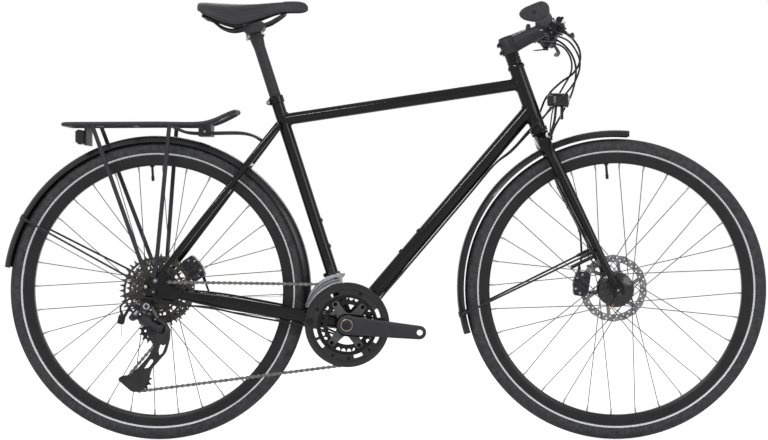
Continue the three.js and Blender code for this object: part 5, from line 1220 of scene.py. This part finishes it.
def chain_route():
    def heading(a, b):
        gap = b[0] - a[0]
        distance = math.hypot(gap.x, gap.z)
        return math.atan2(gap.z, gap.x) - math.asin((b[2] * b[1] - a[2] * a[1]) / distance)

    def on(wheel, angle):
        c, r, turn, y = wheel
        return Vector((c.x + turn * r * math.sin(angle), y, c.z - turn * r * math.cos(angle)))
    count = len(CHAIN_WHEELS)
    leaves = [heading(CHAIN_WHEELS[i], CHAIN_WHEELS[(i + 1) % count]) for i in range(count)]
    parts = []
    for i, wheel in enumerate(CHAIN_WHEELS):
        arrive, leave, turn = leaves[i - 1], leaves[i], wheel[2]
        sweep = turn * (((leave - arrive) * turn) % math.tau)
        parts.append((abs(sweep) * wheel[1], lambda s, w=wheel, a=arrive,
                      v=sweep: (on(w, a + v * s), a + v * s)))
        start, end = on(wheel, leave), on(CHAIN_WHEELS[(i + 1) % count], leave)
        parts.append(((end - start).length, lambda s, a=start, b=end, h=leave: (a.lerp(b, s), h)))
    return parts


def chain():
    parts = chain_route()
    total = sum(length for length, at in parts)
    links = 2 * round(total / CHAIN_PITCH / 2)
    pitch = total / links

    def at(distance):
        for length, place in parts:
            if distance <= length:
                return place(distance / length)
            distance -= length
        return parts[0][1](0)
    pins = [at((i + 0.25) * pitch)[0] for i in range(links)]
    shape = Shape()
    for i in range(links):
        a, b = pins[i], pins[(i + 1) % links]
        along = (b - a).normalized()
        up = Vector((-along.z, 0, along.x)).normalized()
        outer = i % 2 == 0
        offsets = (2.15, 3.0) if outer else (1.25, 2.05)
        half = 4.0
        waist = 2.2
        outline = []
        for end, sign in ((b, 1), (a, -1)):
            for t in range(-3, 4):
                angle = t * math.radians(36)
                forward = end + along * sign * half * math.cos(angle)
                outline.append(forward + up * sign * half * math.sin(angle))
            middle = (a + b) / 2
            outline.append(middle + up * sign * waist)
        for side in (-1, 1):
            rings = [[p + Y_AXIS * side * o for p in outline] for o in offsets]
            shape.rings(rings, False, 1 if outer else 0)
        shape.rod(a - Y_AXIS * 3.3, a + Y_AXIS * 3.3, 1.8, 10, 1)
        shape.rod(a - Y_AXIS * 1.2, a + Y_AXIS * 1.2, 3.8, 14, 0)
    dress("chain", shape.mesh("chain"), [CHAIN_STEEL, CHAIN_STEEL], smooth=30)
    return pins


def phase_for(pins, wheel):
    """The angle at which a wheel's tooth gaps meet the chain's pins."""
    centre, radius = wheel[0], wheel[1]
    near = [p for p in pins if abs(math.hypot(p.x - centre.x, p.z - centre.z) - radius) < 0.4]
    p = near[len(near) // 2]
    return math.atan2(p.z - centre.z, p.x - centre.x)


def cassette(pins):
    meshes = []
    for i, teeth in enumerate(SPROCKETS):
        y = SPROCKET_Y + i * 4.34
        phase = phase_for(pins, CHAIN_WHEELS[0]) if i == 0 else 0.21 * i
        loops = [tooth_outline(REAR, teeth, phase, 6.6 if teeth == 41 else 4.4)]
        if teeth >= 24:
            arms = 10 if teeth > 30 else 5
            span = math.tau / arms
            for k in range(arms):
                start = k * math.tau / arms + 0.15
                window = [polar(26.0, start + span * (0.2 + 0.6 * s / 5)) for s in range(6)]
                window += [polar(pitch_radius(teeth) - 9.0,
                                 start + span * (0.88 - 0.76 * s / 7)) for s in range(8)]
                loops.append(moved(rounded_outline(window, 2.5, 3), REAR))
        loops.append(circle(36, 17.7, REAR.x, REAR.z))
        meshes.append(plate_mesh("sprocket", loops, y - 0.85, y + 0.85, 0.2, 0))
    core = Shape()
    core.lathe([(14.9, -60), (17.9, -60), (17.9, -27), (14.9, -27)], REAR, 48)
    core.lathe([(7.0, -66.4), (9.0, -66.9), (13.6, -66.9), (17.4, -65.8), (17.4, -62.8), (7.0, -62.8)],
               REAR, 48)
    meshes.append(core.mesh("core"))
    dress("cassette", joined("cassette", meshes), DARK_STEEL)


def on_crank(mesh):
    """Turns a mesh drawn with the right arm along +X about the origin to its place."""
    mesh.transform(Matrix.Translation(BRACKET) @ Matrix.Rotation(CRANK_DROP, 4, "Y"))
    return mesh


def crank_arm():
    tip = 16.0
    rows = []
    for i in range(27):
        rows.append((-2 + 171 * i / 26, 22.8 - 6.8 * i / 26))
    for i in range(1, 9):
        angle = math.radians(10.5 * i)
        rows.append((169 + tip * math.sin(angle), tip * math.cos(angle)))
    rings = []
    for x, half in rows:
        share = max(0.0, min(1.0, x / 186))
        outer = 74 + 15 * min(1.0, share * 1.6) ** 1.1
        thick = 15 - 2.0 * math.sin(math.pi * min(1, share * 1.15))
        mid, deep = outer - thick / 2, thick / 2
        rings.append([Vector((x, -(mid + deep * c), half * s)) for c, s in boxy(28, 0.5, 0.5)])
    shape = Shape().rings(rings)
    shape.drum(Vector((CRANK_LENGTH, 0, 0)), 12.5, -89.6, -74.6, 40, 0, 0.6)
    return shape


def eye_hole(mesh):
    """Bores the pedal eye with a boolean against a plain pin."""
    cutter = Shape().drum(Vector((CRANK_LENGTH, 0, 0)), 7.0, -120, -40, 32, 0, 0.1).mesh("cutter")
    held = placed("held", mesh)
    tool = placed("tool", cutter)
    away = held.modifiers.new("away", "BOOLEAN")
    away.operation = "DIFFERENCE"
    away.solver = "EXACT"
    away.object = tool
    away.use_self = True
    made = evaluated(held)
    bpy.data.objects.remove(tool)
    return made


SPIDER_DEGS = (54, 125, 235, 306)


def ring_window(deg):
    low = [polar(72, math.radians(deg + t)) for t in (-8, -4, 0, 4, 8)]
    high = [polar(80, math.radians(deg + t)) for t in (8, 4, 0, -4, -8)]
    return rounded_outline(low + high, 2.6, 3)


def crankset(pins):
    origin = Vector((0, 0, 0))
    windows = [ring_window(deg) for deg in (26, 117, 200, 221, 295, 340)]
    arm = crank_arm()
    arm.drum(origin, 22.9, -74.0, -52, 72, 0, 1.6)
    arm_mesh = eye_hole(arm.mesh("arm"))
    cap = Shape()
    cap.lathe([(12.2, -72), (12.2, -75.0), (12.7, -75.5), (13.5, -75.5), (14.1, -75.0), (14.1, -72)],
              origin, 64, 1)
    cap.drum(origin, 12.2, -74.6, -70, 48, 3, 0.6)
    cap.bolt(Vector((0, -74.4, 0)), -Y_AXIS, 8.0, 1.0, 3)
    cap.drum(origin, 12, -70, 84, 40, 2)
    # a near-black line round the arm's boss: painted shadow in the gap beside the spider
    line = [(60, 22.2)] + [polar(24.2, math.radians(a)) for a in range(80, 281, 10)] + [(60, -22.2)]
    cap.tube([Vector((x, -61, z)) for x, z in line], 2.2, 12, Y_AXIS, 4)
    points = []
    for deg in SPIDER_DEGS:
        points += [polar(r, math.radians(deg + t)) for t,
                   r in ((-26, 27), (-12, 45), (-8.5, 58), (-5, 61.5), (5, 61.5),
                                                                (8.5, 58), (12, 45), (26, 27))]
    spider = plate_mesh("spider", [rounded_outline(points, 4, 3)], -57.5, -51.5, 0.8, 2)
    for face in spider.polygons:
        face.material_index = 5
    whole = on_crank(joined("crank", [arm_mesh, cap.mesh("cap"), spider]))
    dress("crank_right", whole, [SATIN, BRASS, STEEL, STEEL_DARK, GAP, SPIDER],
          smooth=50)

    left_mesh = eye_hole(crank_arm().mesh("arm_left"))
    left_mesh.transform(Matrix.Rotation(math.pi, 4, "Z"))
    end = Shape()
    end.lathe([(12.9, 56), (20, 56), (21, 57), (21, 72), (12.9, 72)], origin, 48)
    end.lathe([(6, 84.3), (6, 89.2), (10.4, 89.2), (11.4, 88.4), (11.4, 84.3)], origin, 40, 1)
    for side in (-1, 1):
        end.bolt(Vector((-19.5, 68, side * 18.5)), Z_AXIS * side, 3, 2.4, 1)
    whole = on_crank(joined("crank_left", [left_mesh, end.mesh("e")]))
    dress("crank_left", whole, [SATIN, STEEL], smooth=50)

    phase = phase_for(pins, CHAIN_WHEELS[3]) + CRANK_DROP
    hole = []
    for i, deg in enumerate(SPIDER_DEGS):
        gap = (SPIDER_DEGS[(i + 1) % 4] - deg) % 360
        hole += [polar(r, math.radians(deg + t)) for t, r in ((-15, 63), (-8, 48.7), (8, 48.7), (15, 63))]
        hole += [polar(63, math.radians(deg + 15 + (gap - 30) * k / 4)) for k in (1, 2, 3)]
    big = tooth_outline(origin, 46, phase, 4.4)
    ring_big = plate_mesh("big", [big, rounded_outline(hole, 3, 3)] + windows, -51.1, -48.9, 0.25, 0)
    ring_mid = plate_mesh("mid", [tooth_outline(origin, 30, 0.05, 4.4), circle(64, 47)],
                          -43.6, -41.4, 0.25, 0)
    screws = Shape()
    for deg in SPIDER_DEGS:
        x, z = polar(55, math.radians(deg))
        screws.drum(Vector((x, 0, z)), 4.6, -51.0, -39.8, 20)
        screws.bolt(Vector((x, -57.3, z)), -Y_AXIS, 4.6, 1.6, 1)
    whole = on_crank(joined("rings", [ring_big, ring_mid, screws.mesh("s")]))
    dress("chainrings", whole, [RING_STEEL, GAP])

    disc = plate_mesh("guard", [circle(144, 99), circle(120, 68)] + windows, -57.0, -54.8, 0.7, 2)
    rim_line = Shape()
    rim_line.lathe([(83.5, -56.6), (84.4, -57.9), (86.5, -58.3), (96.5, -58.3), (98.3, -57.6),
                    (98.9, -56.2),
                    (96, -55.6)], origin, 144)
    rim_line.lathe([(68.0, -56.8), (68.6, -57.7), (69.8, -57.7), (70.4, -56.8)], origin, 120)
    for deg in (8, 72, 158, 250, 278, 317):
        x, z = polar(78, math.radians(deg))
        rim_line.drum(Vector((x, 0, z)), 5, -57.6, -51.6, 20)
        rim_line.bolt(Vector((x, -57.4, z)), -Y_AXIS, 2.8, 1.0, 1)
    whole = on_crank(joined("chain_guard", [disc, rim_line.mesh("r")]))
    dress("chain_guard", whole, [GLOSS, GAP])


def pulleys(pins):
    for node, wheel in (("guide_pulley", CHAIN_WHEELS[1]), ("tension_pulley", CHAIN_WHEELS[2])):
        centre = wheel[0]
        loops = [tooth_outline(centre, 13, phase_for(pins, wheel), 4.0), circle(24, 5, centre.x, centre.z)]
        for x, z in circle(6, 14.5, centre.x, centre.z):
            loops.append(circle(12, 2.9, x, z))
        disc = plate_mesh("p", loops, -62.7, -60.3, 0.4, 1)
        core = Shape()
        core.lathe([(3.3, -67.9), (7.6, -67.9), (8.2, -67.2), (8.2, -55.8), (7.6, -55.1), (3.3, -55.1)],
                   centre, 32, 1)
        dress(node, joined(node, [disc, core.mesh("c")]), [PLASTIC, DARK_STEEL])


def derailleur_cage():
    outline = [(34, 258), (34, 238), (26, 210), (-8, 172), (-14, 150), (-24, 125), (-40, 119), (-54, 120),
               (-86, 148),
               (-80, 156), (-56, 158), (-40, 174), (-16, 200), (0, 226), (-14, 246), (-20, 268), (-6, 282),
               (18, 274)]
    windows = [[(27, 232), (19, 210), (9, 203), (8, 216), (15, 236)],
               [(0, 194), (-14, 176), (-27, 172), (-10, 196)]]
    meshes = []
    for y0, y1 in ((-70.5, -68.5), (-54.5, -52.5)):
        loops = [rounded_outline(outline, 6, 4)] + [rounded_outline(w, 3.4, 3) for w in windows]
        meshes.append(plate_mesh("plate", loops, y0, y1, 0.4, 1))
    pins = Shape()
    for pivot in (GUIDE_PIVOT, TENSION_PIVOT):
        pins.drum(pivot, 3, -69.5, -53.5, 16, 1)
        pins.bolt(pivot - Y_AXIS * 70.3, -Y_AXIS, 4.2, 1.2, 2)
        pins.lathe([(6.4, -70.4), (6.6, -71.2), (8.2, -71.2), (8.6, -70.4)], pivot, 32)
    pins.drum(Vector((-78, 0, 150)), 2.5, -69.5, -53.5, 14, 0)
    pins.drum(Vector((20, 0, 254)), 7, -71.7, -69.5, 24, 0)
    dress("derailleur_cage", joined("cage", meshes + [pins.mesh("p")]), [GLOSS, STEEL, STEEL_DARK])


def derailleur_hardware():
    """Bolts, cable clamp and adjuster of the rear derailleur, fixed to its mount."""
    shape = Shape()
    hanger = Vector((-13.8, 0, 320.5))
    shape.lathe([(4.3, -96), (4.3, -98.2), (5.2, -99.0), (7.0, -99.0), (7.9, -98.0), (7.9, -96)], hanger,
                40)
    shape.drum(hanger, 4.4, -97.6, -95, 24, 1)
    shape.tube([Vector((-50, -92, 293)), Vector((-34, -92, 309))], [(1.5, 3.4), (1.5, 3.4)], 12)
    top, low = Vector((-71.5, -84, 301)), Vector((-76, -84, 279))
    shape.tube([top, top.lerp(low, 0.12), top.lerp(low, 0.9), low], [6, 7.6, 7.6, 6], 20, Y_AXIS, 1)
    for k in range(12):
        x, y = polar(7.6, k * math.tau / 12)
        shape.rod(top.lerp(low, 0.14) + Vector((x, y, 0)), top.lerp(low, 0.88) + Vector((x, y, 0)), 1.0, 8,
                  1)
    shape.rod(Vector((-74.5, -86, 280)), Vector((-73.5, -87, 250)), 0.75, 8)
    for x, z in ((-38, 331), (-31, 325)):
        shape.bolt(Vector((x, -88.6, z)), -Y_AXIS, 2.0, 1.4)
    piece("derailleur_hardware", shape.mesh("h"), "frame", [STEEL, STEEL_DARK])


def front_derailleur():
    """The cage over the big ring: two plates, the outer one ribbed, joined at both ends."""
    def reach(deg, swell):
        return 106 + swell * math.sin(math.radians(min(90, (156 - deg) * 2)))

    def spot(deg, radius, y):
        return around(BRACKET, radius, math.radians(deg), y)

    degs = [156 - 3 * k for k in range(21)]
    meshes = []
    for swell, y0, y1 in ((10.5, -57.9, -56.4), (15, -43.6, -42.1)):
        loop = [polar(99.5, math.radians(d)) for d in degs]
        loop += [polar(reach(d, swell), math.radians(d)) for d in reversed(degs)]
        meshes.append(plate_mesh("plate", [rounded_outline(moved(loop, BRACKET), 1.2, 2)], y0, y1, 0.4, 1))
    extra = Shape()
    for share in (0.18, 0.5, 0.86):
        points = [spot(d, 100.4 + (reach(d, 10.5) - 100.4) * share, -58.1) for d in degs[1:-1]]
        extra.tube(points, 0.9, 8)
    for share in (0.34, 0.68):
        points = [spot(d, 99.5 + (reach(d, 10.5) - 99.5) * share, -57.7) for d in degs[1:-1]]
        extra.tube(points, 1.1, 8, Y_AXIS, 1)
    for deg, radius in ((153.5, 104.5), (104, 112)):
        at = spot(deg, radius, 0)
        extra.box(at.x - 3, at.x + 3, -57.9, -42.1, at.z - 2.5, at.z + 2.5)
    pin = Vector((BRACKET.x - 34, 0, BRACKET.z + 111))
    extra.drum(pin, 4, -43, -28, 20)
    nose = [spot(99, 111, -50), spot(95, 115, -51), spot(92.5, 119, -52)]
    extra.tube(nose, [(5, 2.6), (4.6, 3.4), (4, 2.4)], 16)
    for deg, radius in ((98, 113), (94.5, 119)):
        extra.bolt(spot(deg, radius, -54.5), -Y_AXIS, 2.6, 2.0, 2)
    dress("front_derailleur_cage", joined("fd", meshes + [extra.mesh("e")]), [ALLOY, SATIN, STEEL])
    clamp = Shape()
    hinge = Vector((BRACKET.x - 53, 0, BRACKET.z + 114))
    clamp.drum(hinge, 5.2, -14, 8, 24, 0, 1.0)
    clamp.bolt(hinge - Y_AXIS * 14, -Y_AXIS, 3.6, 1.6)
    piece("front_derailleur_clamp", clamp.mesh("c"), "frame", STEEL_DARK)


def calipers():
    """Bore caps, bolts and ribs on the brake calipers, the front one's bar, and the dynamo's wire."""
    for name, c, y, body, hub in (("rear", Vector((77, 0, 403)), REAR_ROTOR_Y, "frame", REAR),
                                  ("front", Vector((1001, 0, 364)), FRONT_ROTOR_Y, "front_end", FRONT)):
        out = (c - hub).normalized()
        across = Vector((-out.z, 0, out.x))
        shape = Shape()
        cap = c - out * 3
        shape.lathe([(2, y - 14), (2, y - 15.6), (8.4, y - 15.6), (9.4, y - 14.8), (9.4, y - 14)], cap, 36)
        for side in (-1, 1):
            for spot in (c + across * side * 22 + out * 1, c + across * side * 13 + out * 12):
                shape.bolt(Vector((spot.x, y - 13.8, spot.z)), -Y_AXIS, 3.0, 1.8, 1)
        for step in (-6, 0, 6):
            a = c + across * step
            shape.rod(Vector((a.x, y - 14.2, a.z)) + out * 8, Vector((a.x, y - 14.2, a.z)) + out * 14.5,
                      1.0, 8)
        if name == "front":
            shape.tube([Vector((978, 46, 402)), Vector((1004, 48, 415)), Vector((1034, 51, 429))],
                       [4.6, 4.2, 4.6], 16)
        piece("caliper_fittings_" + name, shape.mesh("c"), body, [SATIN, STEEL])
    wire = smooth_path([Vector((1068, -44, 321)), Vector((1064, -42, 313)), Vector((1060, -38, 306)),
                        Vector((1066, -30, 312))], 14)
    piece("dynamo_wire", Shape().tube(wire, 1.0, 8).mesh("w"), "front_end", COPPER)


# Cables: smooth curves along the CAD routes
def along_blade(side, level):
    share = (level - 160) / 140

    def along(low, high):
        return low + (high - low) * share
    lift = along(12, 13) + 2.6 + 0.8
    return steer(along(25, 10) - lift * 0.7, side * (along(50, 44) + lift * 0.7), level)


def below_tube(along, y, lift=0.0):
    under = Vector((DOWN_DIR.z, 0, -DOWN_DIR.x))
    p = down_point(along) + under * (17 + 2.6 + 1 + lift)
    return Vector((p.x, y, p.z))


def hose(points, radius, steps):
    """A round hose through the points, and the path that it follows."""
    sides = 12
    path = smooth_path(points, steps)
    shape = Shape()
    last = len(path) - 1
    tangent = (path[1] - path[0]).normalized()
    lateral = (Y_AXIS - tangent * tangent.dot(Y_AXIS)).normalized() if abs(tangent.y) < 0.9 else Z_AXIS.copy()
    rings = []
    for i, p in enumerate(path):
        tangent = (path[min(i + 1, last)] - path[max(i - 1, 0)]).normalized()
        lateral = (lateral - tangent * tangent.dot(lateral)).normalized()
        upright = tangent.cross(lateral)
        rings.append([p + (lateral * c + upright * s) * radius for c, s in circle(sides, 1)])
    shape.rings(rings)
    return shape, path


def ferrule(shape, path, radius, length=4, at_start=False):
    """The sleeve at one end of a hose."""
    points = path[:length] if at_start else path[:-length - 1:-1]
    sideways = abs((points[1] - points[0]).normalized().y) > 0.8
    shape.tube(points, radius, 16, Z_AXIS if sideways else Y_AXIS, 1)


def brake_port(side):
    """Where a hose leaves its brake lever's cylinder."""
    return [bar_spot(side, 29.97, 61.7, 0, LEVER_TILT), bar_spot(side, 29.2, 53, 0, LEVER_TILT)]


def shift_port(side):
    return [bar_spot(side, 11.96, 51.7, -26), bar_spot(side, 11, 45, -25.5)]


def cables():
    shape, path = hose([
        *brake_port(1), (966, 82, 935), (986, 70, 905),
        (992, 56, 870), (982, 42, 820), (958, 44, 770), (935, 60, 722), steer(7, 61, 345),
        along_blade(1, 270),
        along_blade(1, 215), along_blade(1, 155), steer(8, 72.5, 120), steer(2, 73.6, 101),
        steer(-6, 69, 84),
        (998, 50, 406), (997.3, 46, 395)], 2.5, 220)
    ferrule(shape, path, 3.8, at_start=True)
    ferrule(shape, path, 3.8)
    for level in (270, 215, 155):
        near = min(range(len(path)), key=lambda i: (path[i] - along_blade(1, level)).length)
        if 2 < near < len(path) - 3:
            shape.tube(path[near - 1:near + 2], 3.4, 14, Y_AXIS, 1)
    dress("front_brake_hose", shape.mesh("h"), [CABLE, PLASTIC],
          smooth=60)

    shape, path = hose([
        (936, -6, 784.6), (931, -13, 771), (926, -34, 748), (922, -57, 712), steer(6, -59, 340),
        along_blade(-1, 270), along_blade(-1, 215), along_blade(-1, 155), steer(10, -71.5, 120),
        steer(4, -72.6, 101),
        steer(10, -66, 82), steer(20, -56.5, 64), steer(21, -48, 38), steer(32.3, -46, 11)], 1.55, 180)
    ferrule(shape, path, 2.6, 5)
    dress("headlight_cable", shape.mesh("h"), [CABLE, PLASTIC],
          smooth=60)

    # what crosses the steering joint, between the bar and the down tube, is left on no body
    shape, path = hose([
        *brake_port(-1), (968, -82, 938),
        (988, -70, 912), (992, -52, 885), (978, -28, 858), (950, -6, 838), (919, 14, 806), (904, 32, 770),
        (892, 42, 742), (877, 44, 724), below_tube(560, 34, 8), below_tube(515, 16), below_tube(420, 9),
        below_tube(300, 9), below_tube(180, 9), below_tube(80, 10, 1), (470, 14, 246), (430, 20, 247),
        (395, 31, 260),
        (364, 34, 270), (281, 42, 285.5), (166, 54, 308), (132, 67, 314), (114, 74, 336), (104, 70, 362),
        (99, 60, 380)], 2.5, 420)
    ferrule(shape, path, 3.8, at_start=True)
    ferrule(shape, path, 3.8)
    hose_piece = piece("look_rear_brake_hose", shape.mesh("h"), None, [CABLE, PLASTIC],
                       "rear_brake_hose", smooth=60)
    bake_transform(hose_piece)
    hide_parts("rear_brake_hose")

    shape, path = hose([
        *shift_port(-1), (962, -76, 930), (980, -76, 908),
        (990, -74, 880), (984, -54, 845), (962, -38, 812), (926, -34, 775), (896, -32, 744),
        (877, -36, 728),
        below_tube(560, -20, 8), below_tube(515, -8), below_tube(400, -8), below_tube(250, -8),
        below_tube(90, -8),
        (482, -8, 256), (455, -14, 247), (420, -26, 250), (380, -36, 264), (300, -42, 280), (200, -52, 299),
        (120, -74, 318), (60, -86, 322), (20, -88, 332), (-20, -88, 340), (-56, -86, 336), (-76, -84, 318),
        (-72, -84, 300)], 2.2, 420)
    ferrule(shape, path, 3.2, at_start=True)
    ferrule(shape, path, 3.2)
    other, path = hose([
        *shift_port(1), (962, 76, 930), (980, 76, 905), (982, 66, 872),
        (960, 50, 830), (935, 44, 790), (914, 35, 760), (896, 28, 738), (880, 26, 724),
        below_tube(558, 16, 10),
        below_tube(512, -1.5), below_tube(400, -1.5), below_tube(250, -1.5), below_tube(90, -2),
        (478, -4, 255),
        (455, -10, 248)], 2.2, 300)
    ferrule(other, path, 3.2, at_start=True)
    shape.add(other.verts, other.faces, other.marks)
    shape.box(444, 470, -20, 4, 244, 251, 1)
    both = piece("look_shift_cables", shape.mesh("h"), None, [CABLE, PLASTIC],
                 "shift_cables", smooth=60)
    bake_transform(both)


# Lights
def lights():
    """Headlight, its lens and the rear light."""
    shell = Shape()
    rings = []
    for x, wide, high in [(919.4, 12, 11.5), (920, 14, 13.6), (922, 15.6, 14.8), (934, 17.4, 15.6),
                          (952, 19.2, 16.4),
                          (965.6, 20, 17), (966.8, 19.6, 16.6)]:
        middle = 798 - (x - 923) * 0.03
        rings.append([Vector((x, wide * c, middle + high * s)) for c, s in boxy(40, 0.5, 0.45)])
    shell.rings(rings)
    for side in (-1, 1):
        band = sorted((side * 15.6, side * 18.4))
        shell.box(933.5, 938.5, band[0], band[1], 789, 806, 2)
    shell.tube([Vector((966, 0, 796)), Vector((967.4, 0, 796))], [(20, 17), (19.4, 16.4)], 40, Y_AXIS, 0)
    shell.box(950, 957, -5, 5, 752, 786)
    for side in (-1, 1):
        arm = smooth_path([Vector((941, side * 7, 791)), Vector((936, side * 8, 748)),
                           steer(20, side * 8, 390)], 16)
        shell.tube(arm, 2.5, 14, Y_AXIS, 1)
    foot = []
    for x, z in ((17.3, 380), (23, 380), (23, 399), (17.3, 399)):
        foot.append(steer(x, 0, z))
    shell.rings([[p + Y_AXIS * y for p in foot] for y in (-11, 11)], False, 1)
    shell.bolt(steer(23, 0, 389.5), HEAD_FWD, 4.2, 3.0, 1)
    for k in range(5):
        shell.box(928 + k * 5, 930 + k * 5, -12, 12, 811.4, 814.2)
    dress("headlight", shell.mesh("headlight"), [GLOSS, STEEL_DARK, ROTOR_STEEL],
          smooth=45)
    lens = Shape().tube([Vector((967.4, 0, 795.9)), Vector((968.6, 0, 795.9)), Vector((970.6, 0, 795.8)),
                         Vector((971.2, 0, 795.8))], [(19.3, 16.3), (19, 16), (14, 11.5), (6, 5)], 40)
    for k in range(6):
        lens.box(970.2, 971.4, -12, 12, 787 + k * 3.2, 788 + k * 3.2)
    dress("headlight_lens", lens.mesh("lens"), CLEAR, smooth=45)

    outline = rounded_outline([(-168.3, 731), (-168.3, 699), (-180, 697), (-187, 704), (-187, 728),
                               (-182, 733)], 3)
    case = plate_mesh("case", [outline], -46, 46, 2.0, 3)
    red = Shape()
    for y0, y1 in ((-43, -16), (16, 43)):
        red.rings([[Vector((x, y, z)) for y, z in ((y0, 703), (y1, 703), (y1, 729), (y0, 729))]
                   for x in (-186, -188.2)], False, 1)
    red.rings([[Vector((x, y, z)) for y,
                z in ((-14, 704), (14, 704), (14, 728), (-14, 728))] for x in (-186, -187.8)],
              False, 2)
    dress("rear_light", joined("rear_light", [case, red.mesh("r")]), [GLOSS, RED, RED],
          smooth=45)


def small_parts():
    """Pieces that keep their solid's shape, and the shift levers, drawn smaller than theirs."""
    for node in ("control_left", "control_right", "brake_lever_left", "brake_lever_right",
                 "rear_brake_caliper", "front_brake_caliper", "front_derailleur_body",
                 "rear_derailleur_mount",
                 "derailleur_link", "derailleur_knuckle"):
        refined(node, SATIN, 0.9, 2)
    for side, name in SIDES:
        shape = Shape()
        hinge = [bar_spot(side, 12, 68, z) for z in (-38.6, -39.2, -43.4, -44)]
        shape.tube(hinge, [6.4, 7, 7, 6.4], 28)
        paddle = [(9, 69, -42), (0, 76, -42.6), (-7, 82, -43), (-13, 87, -43.2)]
        shape.tube([bar_spot(side, x, y, z) for x, y, z in paddle],
                   [(1.7, 5), (1.6, 4.4), (1.5, 5.4), (0.9, 4)], 20, Z_AXIS)
        dress("shift_lever_" + name, shape.mesh("paddle"), PLASTIC)


stage()
tyre("front_tyre", FRONT)
tyre("rear_tyre", REAR)
rim("front_rim", FRONT, FRONT_SPOKE_PHASE, 1.64)
rim("rear_rim", REAR, REAR_SPOKE_PHASE, 1.618)
hubs()
rotor("rear_rotor", REAR, REAR_ROTOR_Y)
rotor("front_rotor", FRONT, FRONT_ROTOR_Y)
axle_ends()
frame_tubes()
rear_triangle()
fork()
bar_and_grips()
stem()
control_trim()
mudguards()
rack()
saddle()
PINS = chain()
cassette(PINS)
crankset(PINS)
pulleys(PINS)
derailleur_cage()
derailleur_hardware()
front_derailleur()
calipers()
cables()
lights()
small_parts()
